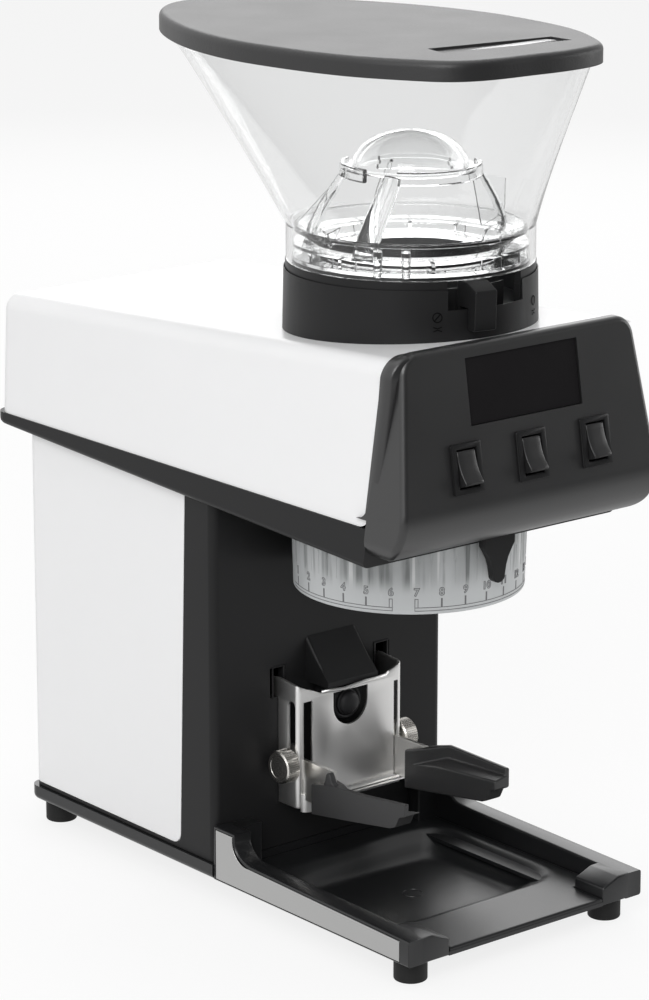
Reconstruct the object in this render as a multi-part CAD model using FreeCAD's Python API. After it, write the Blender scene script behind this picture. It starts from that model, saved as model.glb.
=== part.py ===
import FreeCAD, Part
import math
import os

# Countertop coffee grinder. Millimetres, +Z up, the front faces -Y.
# Sizes are set with Y counted from the front edge of the base and Z from the table.
# At the end every piece is moved so that the origin is the middle of the footprint.

# General
slack = 0.3                 # gap between pieces that pass or face each other
seat = 0.15                 # gap between a cover and what it lies on
run_fit = 0.04              # radial gap of a shaft in its bearing
hair = 0.02                 # gap of a hub on the shaft that carries it
over = 5.0                  # how far a cutter runs past the face that it cuts
wall = 2.4                  # wall of the moulded covers
sheet = 1.5                 # steel sheet of the bracket
parallel_share = 0.0001     # how far two directions may differ and still count as one
full_turn_deg = 360.0
quarter_turn_deg = 90.0
rear_deg = 90.0
front_deg = 270.0

# Feet and base moulding
foot_height = 11.4
foot_radius = 7.8
foot_inset = 12.1
foot_front = 13.1
foot_rear = 285.4
foot_socket = 1.2
base_half = 72.5
base_front = 0.8
plinth_spread = 0.5
plinth_rear = 296.0
plinth_top = 19.0
plinth_corner = 7.0
rail_top_front = 23.8
rail_top_rear = 26.0
rail_width = 20.5
rail_slope_width = 14.0
lip_inset = 25.0
lip_step = 21.5
lip_depth = 6.0
ear_front = 127.6
ear_top = 38.4
ear_bend_start = 116.5
ear_bend_mid = 124.6
ear_bend_mid_z = 29.0
ear_bend_end_z = 35.0
ear_step = 137.0
base_skin = 1.6
trim_thickness = 0.9
trim_margin = 1.3
trim_front = 7.2
trim_rear = 141.4

# Catch tray
deck_front_z = 16.0
deck_rear_z = 25.3
tray_skin = 1.6
well_front = 33.4
well_rear = 133.5
well_inset = 10.0
well_floor_z = 13.4
well_slope = 6.5
well_corner = 9.0
well_floor_corner = 5.0

# Column
column_front = 143.6
column_rear = 294.0
column_inset = 1.15
column_front_corner = 4.0
column_rear_corner = 7.0
column_top = 197.7
cover_skin = 2.0
cover_front_low = 170.7
cover_front_low_z = 27.0
cover_front_high = 165.3
cover_front_high_z = 195.0
cover_bottom = 21.0
cover_corner = 6.0
cover_top = 204.6
ledge_width = 6.0
ledge_height = 2.5

# Head pan
pan_spread = 5.25
pan_rear = 315.4
pan_lip_z = 211.0
pan_front = 28.3
pan_under_front = 192.3
pan_under_rear = 204.9
pan_edge_round = 3.0
pan_corner = 9.0
pan_skin = 2.2

# Head cover
head_step = 0.7
head_lean_in = 3.5
head_rear = 313.2
head_top_front_y = 12.8
head_top_front = 288.2
head_top_rear = 270.0
head_edge_round = 8.0
head_corner = 10.0
head_overrun = 10.0
head_front_round = 8.0

# Front panel
panel_tilt_deg = 9.2
panel_ref_y = 5.5
panel_ref_z = 250.6
panel_top_z = 286.0
panel_chin_z = 214.5
panel_chin_radius = 22.0
panel_spread = 0.8
panel_lean_in = 8.6
panel_seam_top_y = 16.4
panel_seam_low_y = 25.0
panel_corner = 10.0
panel_edge_round = 3.0
panel_skin = 2.8
window_width = 67.0
window_low = 0.0
window_height = 30.2
window_recess = 1.0
window_thickness = 1.6
board_gap = 2.0
board_thickness = 1.6
board_margin = 4.0
board_post = 2.5

# Rocker switches
rocker_pitch = 38.8
rocker_centre_v = -17.9
bezel_width = 17.5
bezel_height = 22.8
bezel_proud = 1.0
bezel_round = 1.2
switch_width = 13.6
switch_height = 19.6
switch_depth = 16.0
rocker_width = 11.4
rocker_height = 17.0
rocker_proud = 4.2
rocker_depth = 4.0
rocker_tilt_deg = 9.0
rocker_hub = 2.2
rocker_pin = 1.2

# Hopper collar and lever
axis_y = 85.85
collar_low_radius = 59.2
collar_high_radius = 58.4
collar_bore = 58.0
collar_top = 310.4
collar_foot = 270.0
collar_ledge_z = 288.2
collar_ledge_height = 2.6
collar_ledge_bore = 50.0
notch_left_deg = 22.0
notch_right_deg = 18.5
notch_floor = 290.0
lever_width = 11.4
lever_top = 307.6
lever_low = 291.2
lever_reach = 66.0
lever_nose_z = 301.5
lever_deg = -7.5

# Hopper
hopper_ring_radius = 57.6
hopper_ring_wall = 3.6
hopper_ring_top = 314.0
hopper_floor = 3.0
sector_inner = 13.0
sector_outer = 41.0
sector_count = 3
sector_deg = 46.0
shutter_radius = 52.6
shutter_thickness = 2.4
shutter_hub = 6.0
shutter_lift = 0.8
lever_window_bore = 50.2
neck_radius = 57.3
neck_top = 331.0
hopper_wall = 2.4
hopper_top = 409.0
lid_length = 247.2
lid_front = 0.3
lid_half = 77.3
lid_overlap = 1.0
lid_height = 9.0
lid_skin = 2.6
lid_round = 3.2
lid_gap = 0.6
lid_rib = 3.0
lid_rib_drop = 1.0
lid_rib_gap = 3.4
grip_left = -27.0
grip_right = 41.0
grip_front = 24.5
grip_rear = 38.0
grip_skew = 6.0
grip_depth = 1.2
# Outline of the lid: across, in shares of its half width, and along, in shares of its length
lid_across_shares = (0.0, 0.36, 0.575, 0.73, 0.86, 0.945, 0.99, 1.0, 0.965, 0.885, 0.77, 0.655, 0.485, 0.26)
lid_along_shares = (0.0, 0.005, 0.031, 0.096, 0.177, 0.274, 0.383, 0.465, 0.565, 0.667, 0.76, 0.832,
                    0.913, 0.978)
hopper_to_lid_share = 0.962

# Finger guard
guard_skirt_bore = 52.0
guard_plate_z = 316.6
guard_plate_thickness = 2.6
guard_plate_bore = 45.0
guard_rim_radius = 32.7
guard_rim_wall = 5.6
guard_rim_z = 352.6
guard_rim_height = 6.8
guard_leg_count = 4
guard_leg_width = 7.0
guard_leg_depth = 4.2
guard_leg_foot = 48.5
guard_leg_start_deg = 45.0
dome_radius = 26.8
dome_top = 373.8
dome_wall = 1.8

# Adjustment ring
ring_top_radius = 55.1
ring_low_radius = 54.1
ring_bottom = 159.4
ring_top = 197.2
ring_bore = 51.3
ring_shelf_bore = 47.8
ring_shelf_z = 181.0
ring_shelf_height = 3.3
ring_opening = 55.9
ring_edge = 1.0
grip_groove_count = 60
grip_groove_low = 183.5
grip_groove_depth = 0.5
grip_groove_radius = 1.3

# Scale pointer
pointer_half = 9.5
pointer_waist = 3.4
pointer_tip_half = 1.0
pointer_tip_z = 174.6
pointer_shoulder_z = 189.0
pointer_waist_z = 182.6
pointer_front = 22.6
pointer_depth = 4.4
pointer_root_z = 198.0

# Bracket, fork and button
bracket_front = 128.2
bracket_half = 32.6
bracket_top = 102.6
bracket_dip = 97.2
bracket_dip_half = 21.5
bracket_dip_shoulder = 27.5
bracket_dip_drop = 2.5
bracket_brow_reach = 2.6
bracket_brow_lift = 1.2
bracket_low = 43.6
bracket_lip_z = 51.5
bracket_lip_depth = 3.2
bracket_lip_half = 24.0
notch_half = 10.7
notch_low = 78.4
slot_inner = 25.2
slot_outer = 30.3
slot_low = 56.0
slot_high = 94.4
hook_half = 33.0
hook_low = 95.0
hook_high = 109.5
hook_width = 8.0
hook_reach = 5.6
hook_drop = 3.0
flange_slot_y = 133.2
flange_slot_width = 5.6
flange_slot_low = 60.5
flange_slot_high = 95.0
carrier_sheet = 2.0
carrier_outer = 29.7
carrier_front = 105.0
carrier_low = 46.5
carrier_high = 66.6
carrier_bar_low = 46.5
carrier_bar_high = 54.0
carrier_ear_high = 72.0
carrier_ear_rear = 138.0
knob_radius = 8.2
knob_inner = 32.9
knob_outer = 41.0
knob_z = 63.6
knob_shank = 2.4
knob_edge = 0.8
arm_inner = 23.5
arm_outer = 34.4
arm_rear = 116.0
arm_rear_low = 43.6
arm_top = ((116.0, 63.2), (93.0, 69.6), (50.0, 69.8))
arm_left_top = ((116.0, 58.8), (98.0, 62.2), (79.0, 63.0), (50.0, 66.0))
arm_tip_low = 60.2
arm_scoop = ((53.6, 58.8), (56.2, 53.6))
arm_heel_y = 60.0
arm_heel_low = 52.0
arm_rim = 2.6
arm_front_half = 31.0
arm_rest_rear = 110.0
arm_rest_wall_y = 92.0
arm_rest_depth = 6.5
arm_rest_front_depth = 2.6
arm_rest_lean = 3.0
hood_half = 15.5
hood_top_z = 121.8
hood_brow_y = 129.0
hood_brow_z = 104.8
hood_low_z = 99.4
hood_brow_drop = 2.5
hood_front_y = 126.4
hood_skin = 2.0
hood_round = 1.8
button_z = 89.0
button_radius = 6.4
button_front = 126.4
button_rear = 142.0
button_travel = 2.5
button_crown = 1.0
boot_radius = 11.0
boot_front = 136.0
boot_bore = 6.8
boot_depth = 8.6
start_body_half = 7.6
start_body_depth = 18.0

# Steel plate on the column and the gear case
plate_inset = 5.35
plate_front = 152.0
plate_rear = 286.0
plate_thickness = 2.5
motor_opening = 34.0
case_floor = 3.0
case_inset = 4.0
case_wide_front = 56.0
case_wide_rear = 139.0
case_narrow_half = 40.0
case_rear = 246.0
case_post_inset = 4.0
case_post_front = 61.0
case_post_rear = 132.0
case_post_radius = 4.0
spigot_radius = 50.9
spigot_bore = 48.2
spigot_low = 189.5
case_low_wall_top = 219.9
case_high_wall_top = 227.0
case_wall = 2.2
gear_room = 0.8
case_cover = 2.5

# Gear train
pressure_deg = 25.0
fine_module = 1.25
coarse_module = 1.5
motor_teeth = 14
first_wheel_teeth = 50
first_pinion_teeth = 12
second_wheel_teeth = 46
second_pinion_teeth = 16
drive_teeth = 40
addendum_share = 0.95
dedendum_share = 1.2
backlash_share = 0.12
axle_radius = 3.0
axle_top_gap = 0.6
drive_gear_z = 204.0
drive_gear_width = 9.0
second_pinion_width = 10.2
second_wheel_width = 4.0
first_pinion_z = 214.3
first_pinion_width = 4.6
first_wheel_z = 219.6
first_wheel_width = 5.0
motor_pinion_width = 6.0
second_wheel_z = 214.4
wheel_web = 1.6
wheel_rim = 4.5
wheel_hub = 7.0

# Motor
motor_radius = 33.0
motor_bottom = 122.0
motor_wall = 2.5
motor_end = 3.0
motor_shaft = 2.5
motor_shaft_low = 118.0
magnet_inner = 24.0
magnet_low = 138.0
magnet_high = 186.0
magnet_cut = 12.0
core_radius = 22.8
core_low = 141.0
core_high = 183.0
commutator_radius = 9.0
commutator_low = 128.0
commutator_high = 136.0
fan_radius = 27.0
fan_low = 188.0
fan_high = 194.0
motor_shaft_hole = 5.0

# Spindle, burrs and bearings
spindle_radius = 4.0
spindle_low = 185.6
spindle_shoulder = 6.0
shoulder_low = 194.3
shoulder_high = 203.7
spindle_top = 268.0
spindle_hole = 7.0
bearing_radius = 11.0
bearing_width = 7.0
bearing_race = 2.2
bearing_groove = 0.6
lower_bearing_z = 187.0
carrier_hub_radius = 14.0
carrier_hub_low = 184.6
carrier_hub_high = 195.3
carrier_arm_height = 4.0
carrier_arm_width = 8.0
carrier_arm_reach = 50.8
carrier_arm_count = 3
carrier_arm_start_deg = 90.0
guide_pin_radius = 2.0
guide_pin_at = 33.0
guide_pin_gap = 0.1
housing_radius = 34.0
housing_low = 220.2
housing_top = 267.6
housing_floor = 230.5
housing_low_bore = 25.6
housing_bore = 27.5
housing_ear_reach = 47.0
housing_ear_width = 12.0
housing_ear_height = 3.2
burr_seat_z = 241.0
upper_bearing_z = 221.4
ring_burr_outer = 27.2
ring_burr_height = 21.0
ring_burr_low_bore = 21.9
ring_burr_high_bore = 24.0
ring_burr_teeth = 24
cone_burr_low = 21.2
cone_burr_high = 11.0
cone_burr_height = 22.5
cone_flutes = 7
cone_flute_depth = 4.2
cone_teeth = 28
cone_teeth_height = 6.0
tooth_depth = 1.1
flute_lean_deg = 24.0
sweeper_radius = 24.4
sweeper_z = 231.5
sweeper_disc = 2.4
sweeper_blades = 4
sweeper_blade_height = 5.2
sweeper_blade_width = 3.0
sweeper_blade_root = 10.0
nut_radius = 7.0
nut_height = 4.0
nut_sides = 6

# Bean throat, grounds chute and outlet funnel
throat_flange = 2.4
throat_low_bore = 24.6
throat_high_bore = 43.0
throat_wall = 2.0
chute_half = 10.0
chute_front = 39.6
chute_rear = 51.0
chute_wall = 1.5
chute_top = 241.6
chute_bottom = 190.0
port_low = 231.0
port_high = 240.0
chute_head_rear = 55.0
funnel_bottom = 163.0
funnel_outlet_y = 74.0
funnel_outlet = 11.0
funnel_wall = 1.5

# Power inlet and control board
inlet_z = 44.0
inlet_half = 14.0
inlet_height = 20.0
inlet_depth = 22.0
inlet_flange = 4.0
inlet_proud = 1.6
inlet_cavity_half = 12.0
inlet_cavity_height = 16.4
inlet_cavity_depth = 15.0
inlet_pin_half = 1.0
inlet_pin_height = 4.0
inlet_pin_recess = 5.0
inlet_pin_offset = 7.0
control_half = 42.0
control_low = 66.0
control_high = 170.0
control_thickness = 1.6
control_post = 4.0
control_post_radius = 3.0
control_part_height = 14.0
control_part_half = 12.0
control_part_length = 24.0
control_relay_half = 8.0
control_relay_width = 16.0

# Worked out from the sizes above
second_y = axis_y + coarse_module * (second_pinion_teeth + drive_teeth) / 2
first_y = second_y + coarse_module * (first_pinion_teeth + second_wheel_teeth) / 2
motor_y = first_y + fine_module * (motor_teeth + first_wheel_teeth) / 2
column_floor = plinth_top
lid_bottom = hopper_top - lid_overlap
lid_top = lid_bottom + lid_height
plinth_half = base_half + plinth_spread
rail_inner_half = base_half - rail_width
rail_slope_half = base_half - rail_slope_width
lip_half = base_half - lip_inset
well_half = rail_inner_half - well_inset
column_half = base_half - column_inset
pan_half = column_half + pan_spread
head_low_half = pan_half - head_step
head_high_half = head_low_half - head_lean_in
panel_low_half = pan_half + panel_spread
panel_high_half = panel_low_half - panel_lean_in
plate_half = column_half - plate_inset
case_wide_half = plate_half - case_inset
case_post_x = case_wide_half - case_post_inset
face_tilt = math.radians(panel_tilt_deg)


def vec(x, y, z):
    """Short form of a vector."""
    return FreeCAD.Vector(x, y, z)


def block(x0, x1, y0, y1, z0, z1):
    """Box between two corners."""
    return Part.makeBox(x1 - x0, y1 - y0, z1 - z0, vec(x0, y0, z0))


def disc(radius, z0, z1, x=0, y=axis_y):
    """Upright cylinder."""
    return Part.makeCylinder(radius, z1 - z0, vec(x, y, z0))


def tube(outer, inner, z0, z1, x=0, y=axis_y):
    """Upright tube."""
    return disc(outer, z0, z1, x, y).cut(disc(inner, z0 - over, z1 + over, x, y))


def taper(low_radius, high_radius, z0, z1, y=axis_y):
    """Upright frustum."""
    return Part.makeCone(low_radius, high_radius, z1 - z0, vec(0, y, z0))


def rod(radius, x0, x1, y, z):
    """Cylinder along X."""
    return Part.makeCylinder(radius, x1 - x0, vec(x0, y, z), vec(1, 0, 0))


def barrel(radius, y0, y1, x, z):
    """Cylinder along Y."""
    return Part.makeCylinder(radius, y1 - y0, vec(x, y0, z), vec(0, 1, 0))


def prism(points, direction):
    """Polygon pushed along a vector."""
    face = Part.Face(Part.makePolygon(points + [points[0]]))
    return face.extrude(direction)


def side_prism(outline, x0, x1):
    """Outline of (y, z) points pushed along X."""
    return prism([vec(x0, y, z) for y, z in outline], vec(x1 - x0, 0, 0))


def plan_prism(outline, z0, z1):
    """Outline of (x, y) points pushed along Z."""
    return prism([vec(x, y, z0) for x, y in outline], vec(0, 0, z1 - z0))


def front_prism(outline, y0, y1):
    """Outline of (x, z) points pushed along Y."""
    return prism([vec(x, y0, z) for x, z in outline], vec(0, y1 - y0, 0))


def direction_of(edge):
    """Unit vector along a straight edge, or None for a curved one."""
    if not isinstance(edge.Curve, Part.Line):
        return None
    return edge.tangentAt(edge.FirstParameter)


def edges_along(shape, axis, keep=None):
    """Straight edges parallel to an axis, kept where keep(middle) is true."""
    found = []
    for edge in shape.Edges:
        way = direction_of(edge)
        if way is None or abs(abs(way.dot(axis)) - 1) > parallel_share:
            continue
        if keep is None or keep(edge.CenterOfMass):
            found.append(edge)
    return found


def edges_in_plane(shape, height):
    """Edges whose every point lies at one height."""
    return [e for e in shape.Edges
            if abs(e.BoundBox.ZMin - height) < hair and abs(e.BoundBox.ZMax - height) < hair]


def rounded(shape, radius, edges):
    """Round the given edges."""
    return shape.makeFillet(radius, edges)


def rounded_block(x0, x1, y0, y1, z0, z1, radius):
    """Box with round upright edges."""
    body = block(x0, x1, y0, y1, z0, z1)
    return rounded(body, radius, edges_along(body, vec(0, 0, 1)))


def mirrored(shape):
    """Copy on the other side of the middle plane."""
    return shape.mirror(vec(0, 0, 0), vec(1, 0, 0))


def both_sides(shape):
    """The shape and its mirror copy in one."""
    return shape.fuse(mirrored(shape))


def turned(shape, degrees, y=axis_y):
    """Copy turned about an upright axis."""
    copy = shape.copy()
    copy.rotate(vec(0, y, 0), vec(0, 0, 1), degrees)
    return copy


def around(shape, count, start_deg=0.0):
    """Copies spread evenly about the burr axis."""
    step = full_turn_deg / count
    return [turned(shape, start_deg + step * i) for i in range(count)]


def sector(inner, outer, z0, z1, start_deg, end_deg, y=axis_y):
    """Part of a tube, angles counted from the front, growing towards +X."""
    piece = Part.makeCylinder(outer, z1 - z0, vec(0, y, z0), vec(0, 0, 1), end_deg - start_deg)
    piece.rotate(vec(0, y, 0), vec(0, 0, 1), start_deg - quarter_turn_deg)
    return piece.cut(disc(inner, z0 - over, z1 + over, 0, y))


def panel_y(z):
    """Y of the front panel's face at a height."""
    return panel_ref_y + (z - panel_ref_z) * math.tan(face_tilt)


def on_panel(shape):
    """Move a piece drawn on the XZ plane, front towards -Y, onto the front panel."""
    copy = shape.copy()
    copy.rotate(vec(0, 0, 0), vec(1, 0, 0), -panel_tilt_deg)
    copy.translate(vec(0, panel_ref_y, panel_ref_z))
    return copy


# Base

def rail_z(y):
    """Height of a rail's top."""
    return rail_top_front + (rail_top_rear - rail_top_front) * y / ear_front


def deck_z(y):
    """Height of the tray's deck, which falls to the front."""
    return deck_front_z + (deck_rear_z - deck_front_z) * y / column_front


def ear_outline(inset):
    """Side view of the base, with a concave bend up to the ear, as a face on the plane x = 0."""
    low = foot_height + inset
    start = vec(0, ear_bend_start, rail_z(ear_bend_start) - inset)
    middle = vec(0, ear_bend_mid + inset, ear_bend_mid_z - inset)
    end = vec(0, ear_front + inset, ear_bend_end_z)
    front = base_front + (trim_front - base_front if inset else 0)
    rear = trim_rear if inset else column_front - seat
    top = ear_top - inset
    corners = [end, vec(0, ear_front + inset, top), vec(0, rear, top), vec(0, rear, low),
               vec(0, front, low), vec(0, front, rail_z(0) - inset), start]
    edges = [Part.Arc(start, middle, end).toShape()]
    edges += [Part.makeLine(a, b) for a, b in zip(corners, corners[1:])]
    return Part.Face(Part.Wire(edges))


def side_view(inset, x0, x1):
    """Slab of the base's side view between two x values."""
    face = ear_outline(inset)
    face.translate(vec(x0, 0, 0))
    return face.extrude(vec(x1 - x0, 0, 0))


def seat_prism(x_half, drop, y0, y1):
    """Solid under the sloping deck, down to the bottom of the base."""
    return side_prism([(y0, foot_height), (y1, foot_height), (y1, deck_z(y1) - drop),
                       (y0, deck_z(y0) - drop)],
                      -x_half, x_half)


def make_base_tray():
    """Base moulding: two rails with ears, the seat of the catch tray and the plinth of the column."""
    body = side_view(0, -base_half, base_half)
    trough = front_prism([(-rail_inner_half, foot_height + base_skin),
                          (rail_inner_half, foot_height + base_skin),
                          (rail_inner_half, deck_rear_z), (rail_slope_half, rail_top_rear + hair),
                          (rail_slope_half, ear_top + over), (-rail_slope_half, ear_top + over),
                          (-rail_slope_half, rail_top_rear + hair), (-rail_inner_half, deck_rear_z)],
                         lip_depth, ear_step)
    rear_trough = block(-rail_inner_half, rail_inner_half, ear_step - over, column_front + over,
                        foot_height + base_skin, ear_top + over)
    mouth = front_prism([(-lip_half, foot_height + base_skin), (lip_half, foot_height + base_skin),
                         (lip_half, lip_step), (rail_slope_half, rail_top_rear + hair),
                         (rail_slope_half, ear_top), (-rail_slope_half, ear_top),
                         (-rail_slope_half, rail_top_rear + hair), (-lip_half, lip_step)],
                        -over, lip_depth + over)
    body = body.cut(trough).cut(rear_trough).cut(mouth)
    bed = seat_prism(rail_inner_half, tray_skin + seat, lip_depth, column_front - seat)
    front_bed = seat_prism(lip_half, tray_skin + seat, base_front, lip_depth)
    body = body.fuse([bed, front_bed])
    window = block(-well_half - tray_skin - slack, well_half + tray_skin + slack,
                   well_front - tray_skin - slack, well_rear + tray_skin + slack, 0, ear_top)
    body = body.cut(window)
    pocket = side_view(trim_margin, base_half - trim_thickness, base_half + over)
    body = body.cut(pocket).cut(mirrored(pocket))
    plinth = rounded_block(-plinth_half, plinth_half, column_front - plinth_corner, plinth_rear,
                           foot_height, plinth_top, plinth_corner)
    plinth = plinth.cut(block(-plinth_half, plinth_half, 0, column_front - seat, 0, ear_top))
    plinth = rounded(plinth, pan_edge_round,
                     [e for e in edges_in_plane(plinth, foot_height) if e.CenterOfMass.y > column_front])
    body = body.fuse(plinth)
    sockets = [disc(foot_radius - slack, 0, foot_height + foot_socket, x, y)
               for x, y in foot_places()]
    return body.cut(sockets).removeSplitter()


def foot_places():
    """Centres of the four feet."""
    x = base_half - foot_inset
    return [(side * x, y) for y in (foot_front, foot_rear) for side in (-1, 1)]


def make_feet():
    """Four rubber feet with a plug that sits in the base."""
    feet = []
    for x, y in foot_places():
        foot = disc(foot_radius, 0, foot_height, x, y)
        foot = rounded(foot, knob_edge, edges_in_plane(foot, 0))
        plug = disc(foot_radius - slack - seat, foot_height, foot_height + foot_socket - seat, x, y)
        feet.append(foot.fuse(plug))
    return Part.makeCompound(feet)


def make_side_trim():
    """Pale strip let into the right side of the base."""
    return side_view(trim_margin, base_half - trim_thickness, base_half)


def rounded_plan(half, front, rear, radius, z):
    """Closed wire of a rectangle with round corners at a height."""
    body = rounded_block(-half, half, front, rear, z, z + over, radius)
    for face in body.Faces:
        if abs(face.BoundBox.ZMax - z) < hair:
            return face.OuterWire
    return None


def well_shape(grow):
    """Space of the well, narrowing to its floor, made larger by grow."""
    top_z = deck_z(well_rear) + over
    lean = well_slope / (deck_z(well_rear) - well_floor_z)
    low = well_floor_z - grow
    high_half = well_half + lean * (top_z - deck_z(well_rear)) + grow
    high_front = well_front - lean * (top_z - deck_z(well_rear)) - grow
    high_rear = well_rear + lean * (top_z - deck_z(well_rear)) + grow
    top = rounded_plan(high_half, high_front, high_rear, well_corner, top_z)
    floor = rounded_plan(well_half - well_slope + grow, well_front + well_slope - grow,
                         well_rear - well_slope + grow, well_floor_corner, low)
    return Part.makeLoft([floor, top], True, True)


def make_catch_tray():
    """Tray with a sloping deck and a deep well that lifts out of the base."""
    half = rail_inner_half - slack
    tray_rear = column_front - seat - slack
    deck = side_prism([(lip_depth + slack, deck_z(lip_depth) - tray_skin),
                       (tray_rear, deck_z(column_front) - tray_skin),
                       (tray_rear, deck_z(column_front)), (lip_depth + slack, deck_z(lip_depth))],
                      -half, half)
    tongue = side_prism([(base_front, deck_z(0) - tray_skin), (lip_depth + over,
                                                               deck_z(lip_depth + over) - tray_skin),
                         (lip_depth + over, deck_z(lip_depth + over)), (base_front, deck_z(0))],
                        -lip_half + slack, lip_half - slack)
    outer = well_shape(tray_skin)
    below = side_prism([(0, 0), (column_front, 0), (column_front, deck_z(column_front) - hair),
                        (0, deck_z(0) - hair)], -base_half, base_half)
    tub = outer.common(below)
    tray = deck.fuse([tongue, tub]).cut(well_shape(0))
    return tray.removeSplitter()


# Column

def column_shell(inset, z0, z1):
    """Upright block of the column's plan, made smaller by inset."""
    body = block(-column_half + inset, column_half - inset, column_front + inset, column_rear - inset, z0, z1)
    front = edges_along(body, vec(0, 0, 1), lambda p: p.y < column_rear / 2 + column_front / 2)
    body = rounded(body, column_front_corner, front)
    rear = edges_along(body, vec(0, 0, 1), lambda p: p.y > column_rear / 2 + column_front / 2)
    return rounded(body, column_rear_corner - inset / 2, rear)


def cover_zone(grow):
    """Space behind the slanted front edge of the column cover, rounded at its lower corner."""
    lean = (cover_front_low - cover_front_high) / (cover_front_high_z - cover_front_low_z)
    low_z = cover_bottom - grow
    low_y = cover_front_low + (cover_front_low_z - low_z) * lean - grow
    high_z = cover_top + over
    high_y = cover_front_low - (high_z - cover_front_low_z) * lean - grow
    body = side_prism([(low_y, low_z), (column_rear + over, low_z), (column_rear + over, high_z),
                       (high_y, high_z)], -pan_half, pan_half)
    corner = edges_along(body, vec(1, 0, 0),
                         lambda p: p.y < cover_front_low + over and p.z < cover_front_low_z)
    return rounded(body, cover_corner, corner)


def make_column_frame():
    """Black inner column: a box with a step for the cover, a ledge at the top and slots for the bracket."""
    body = column_shell(0, column_floor, column_top)
    core = column_shell(cover_skin + seat, 0, cover_top + over)
    body = body.cut(cover_zone(seat).cut(core))
    room = column_shell(cover_skin + seat + wall, column_floor + wall, column_top - ledge_height)
    ledge = column_shell(cover_skin + seat + wall + ledge_width, column_floor + wall, column_top + over)
    body = body.cut(room).cut(ledge)
    slots = [block(side * hook_half - hook_width / 2, side * hook_half + hook_width / 2,
                   column_front - over, column_front + hook_reach + over, hook_low, hook_high)
             for side in (-1, 1)]
    button_hole = barrel(start_body_half + slack, column_front - over, column_front + over + wall, 0,
                         button_z)
    inlet = block(-inlet_half - slack, inlet_half + slack, column_rear - over - wall, column_rear + over,
                  inlet_z - inlet_height / 2 - slack, inlet_z + inlet_height / 2 + slack)
    return body.cut(slots + [button_hole, inlet]).removeSplitter()


def make_column_cover():
    """White wrap round the sides and rear of the column."""
    outer = column_shell(0, 0, cover_top)
    core = column_shell(cover_skin, 0, cover_top + over)
    body = outer.cut(core).common(cover_zone(0))
    inlet = block(-inlet_half - slack, inlet_half + slack, column_rear - over, column_rear + over,
                  inlet_z - inlet_height / 2 - slack, inlet_z + inlet_height / 2 + slack)
    return body.cut(inlet)


# Head

def pan_profile(inset):
    """Side view of the pan as points."""
    lean = (panel_seam_low_y - pan_front) / (pan_lip_z - pan_under_front)
    return [(pan_front + inset, pan_under_front + inset), (pan_rear - inset, pan_under_rear + inset),
            (pan_rear - inset, pan_lip_z + (over if inset else 0)),
            (pan_front + (pan_lip_z - pan_under_front) * lean + inset, pan_lip_z + (over if inset else 0))]


def pan_under_z(y):
    """Height of the pan's underside."""
    return pan_under_front + (pan_under_rear - pan_under_front) * (y - pan_front) / (pan_rear - pan_front)


def make_head_pan():
    """Shallow tray under the head, open round the column and the ring."""
    body = side_prism(pan_profile(0), -pan_half, pan_half)
    uprights = edges_along(body, vec(0, 0, 1), lambda p: p.y > column_rear)
    body = rounded(body, pan_corner, uprights)
    low = [e for e in body.Edges if e.BoundBox.ZMax < pan_under_rear
           + hair and e.CenterOfMass.y > pan_front + over]
    body = rounded(body, pan_edge_round, low)
    room = side_prism(pan_profile(pan_skin), -pan_half + pan_skin, pan_half - pan_skin)
    room = rounded(room, pan_corner - pan_skin, edges_along(room, vec(0, 0, 1), lambda p: p.y > column_rear))
    body = body.cut(room)
    body = body.cut(column_shell(-slack, pan_under_front - over, pan_lip_z))
    posts = [disc(case_post_radius, pan_under_z(y) + pan_skin / 2, column_top + plate_thickness,
                  side * case_post_x, y)
             for side in (-1, 1) for y in (case_post_front, case_post_rear)]
    body = body.fuse(posts)
    body = body.cut(disc(ring_opening, pan_under_front - over, pan_lip_z + over))
    return body.removeSplitter()


def head_profile(inset):
    """Side view of the white cover; the top climbs to the front."""
    drop = (head_top_front - head_top_rear) / (head_rear - head_top_front_y)
    low = pan_lip_z + seat
    return [(panel_seam_low_y + slack - inset, low - inset), (panel_seam_top_y + slack - inset,
                                                              panel_top_z + slack - inset * drop),
            (head_top_front_y - inset, panel_top_z + slack), (head_top_front_y - inset,
                                                              head_top_front - inset + inset * drop),
            (head_rear - inset, head_top_rear - inset), (head_rear - inset, low - inset)]


def head_block(inset):
    """Solid of the head cover, made smaller by inset at the sides, rear and top."""
    drop = (head_top_front - head_top_rear) / (head_rear - head_top_front_y)
    front = -head_overrun
    front_high = head_top_front + (head_top_front_y - front) * drop - inset
    body = side_prism([(front, pan_lip_z - over), (front, front_high),
                       (head_rear - inset, head_top_rear - inset),
                       (head_rear - inset, pan_lip_z - over)], -head_low_half, head_low_half)
    z0 = pan_lip_z
    z1 = head_top_front
    low = head_low_half - inset
    high = head_high_half - inset
    sides = front_prism([(-low, z0 - over), (low, z0 - over), (low, z0), (high, z1), (high, z1 + over),
                         (-high, z1 + over), (-high, z1), (-low, z0)], front - over, head_rear + over)
    body = body.common(sides)
    rear = [e for e in body.Edges if e.BoundBox.YMin > head_rear - inset - over and e.BoundBox.ZLength > over]
    body = rounded(body, head_corner - inset / 2, rear)
    top = [e for e in body.Edges
           if e.BoundBox.ZMin > head_top_rear - over - inset and e.BoundBox.YMax > front + over]
    body = rounded(body, head_edge_round - inset / 2, top)
    limit = side_prism(head_profile(inset), -head_low_half, head_low_half)
    corner = edges_along(limit, vec(1, 0, 0),
                         lambda p: p.y < panel_seam_low_y + over and p.z < pan_lip_z + over)
    return body.common(rounded(limit, head_front_round, corner))


def top_plane_z(y):
    """Height of the head's sloping top."""
    return head_top_rear + (head_top_front - head_top_rear) * (head_rear - y) / (head_rear - head_top_front_y)


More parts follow.
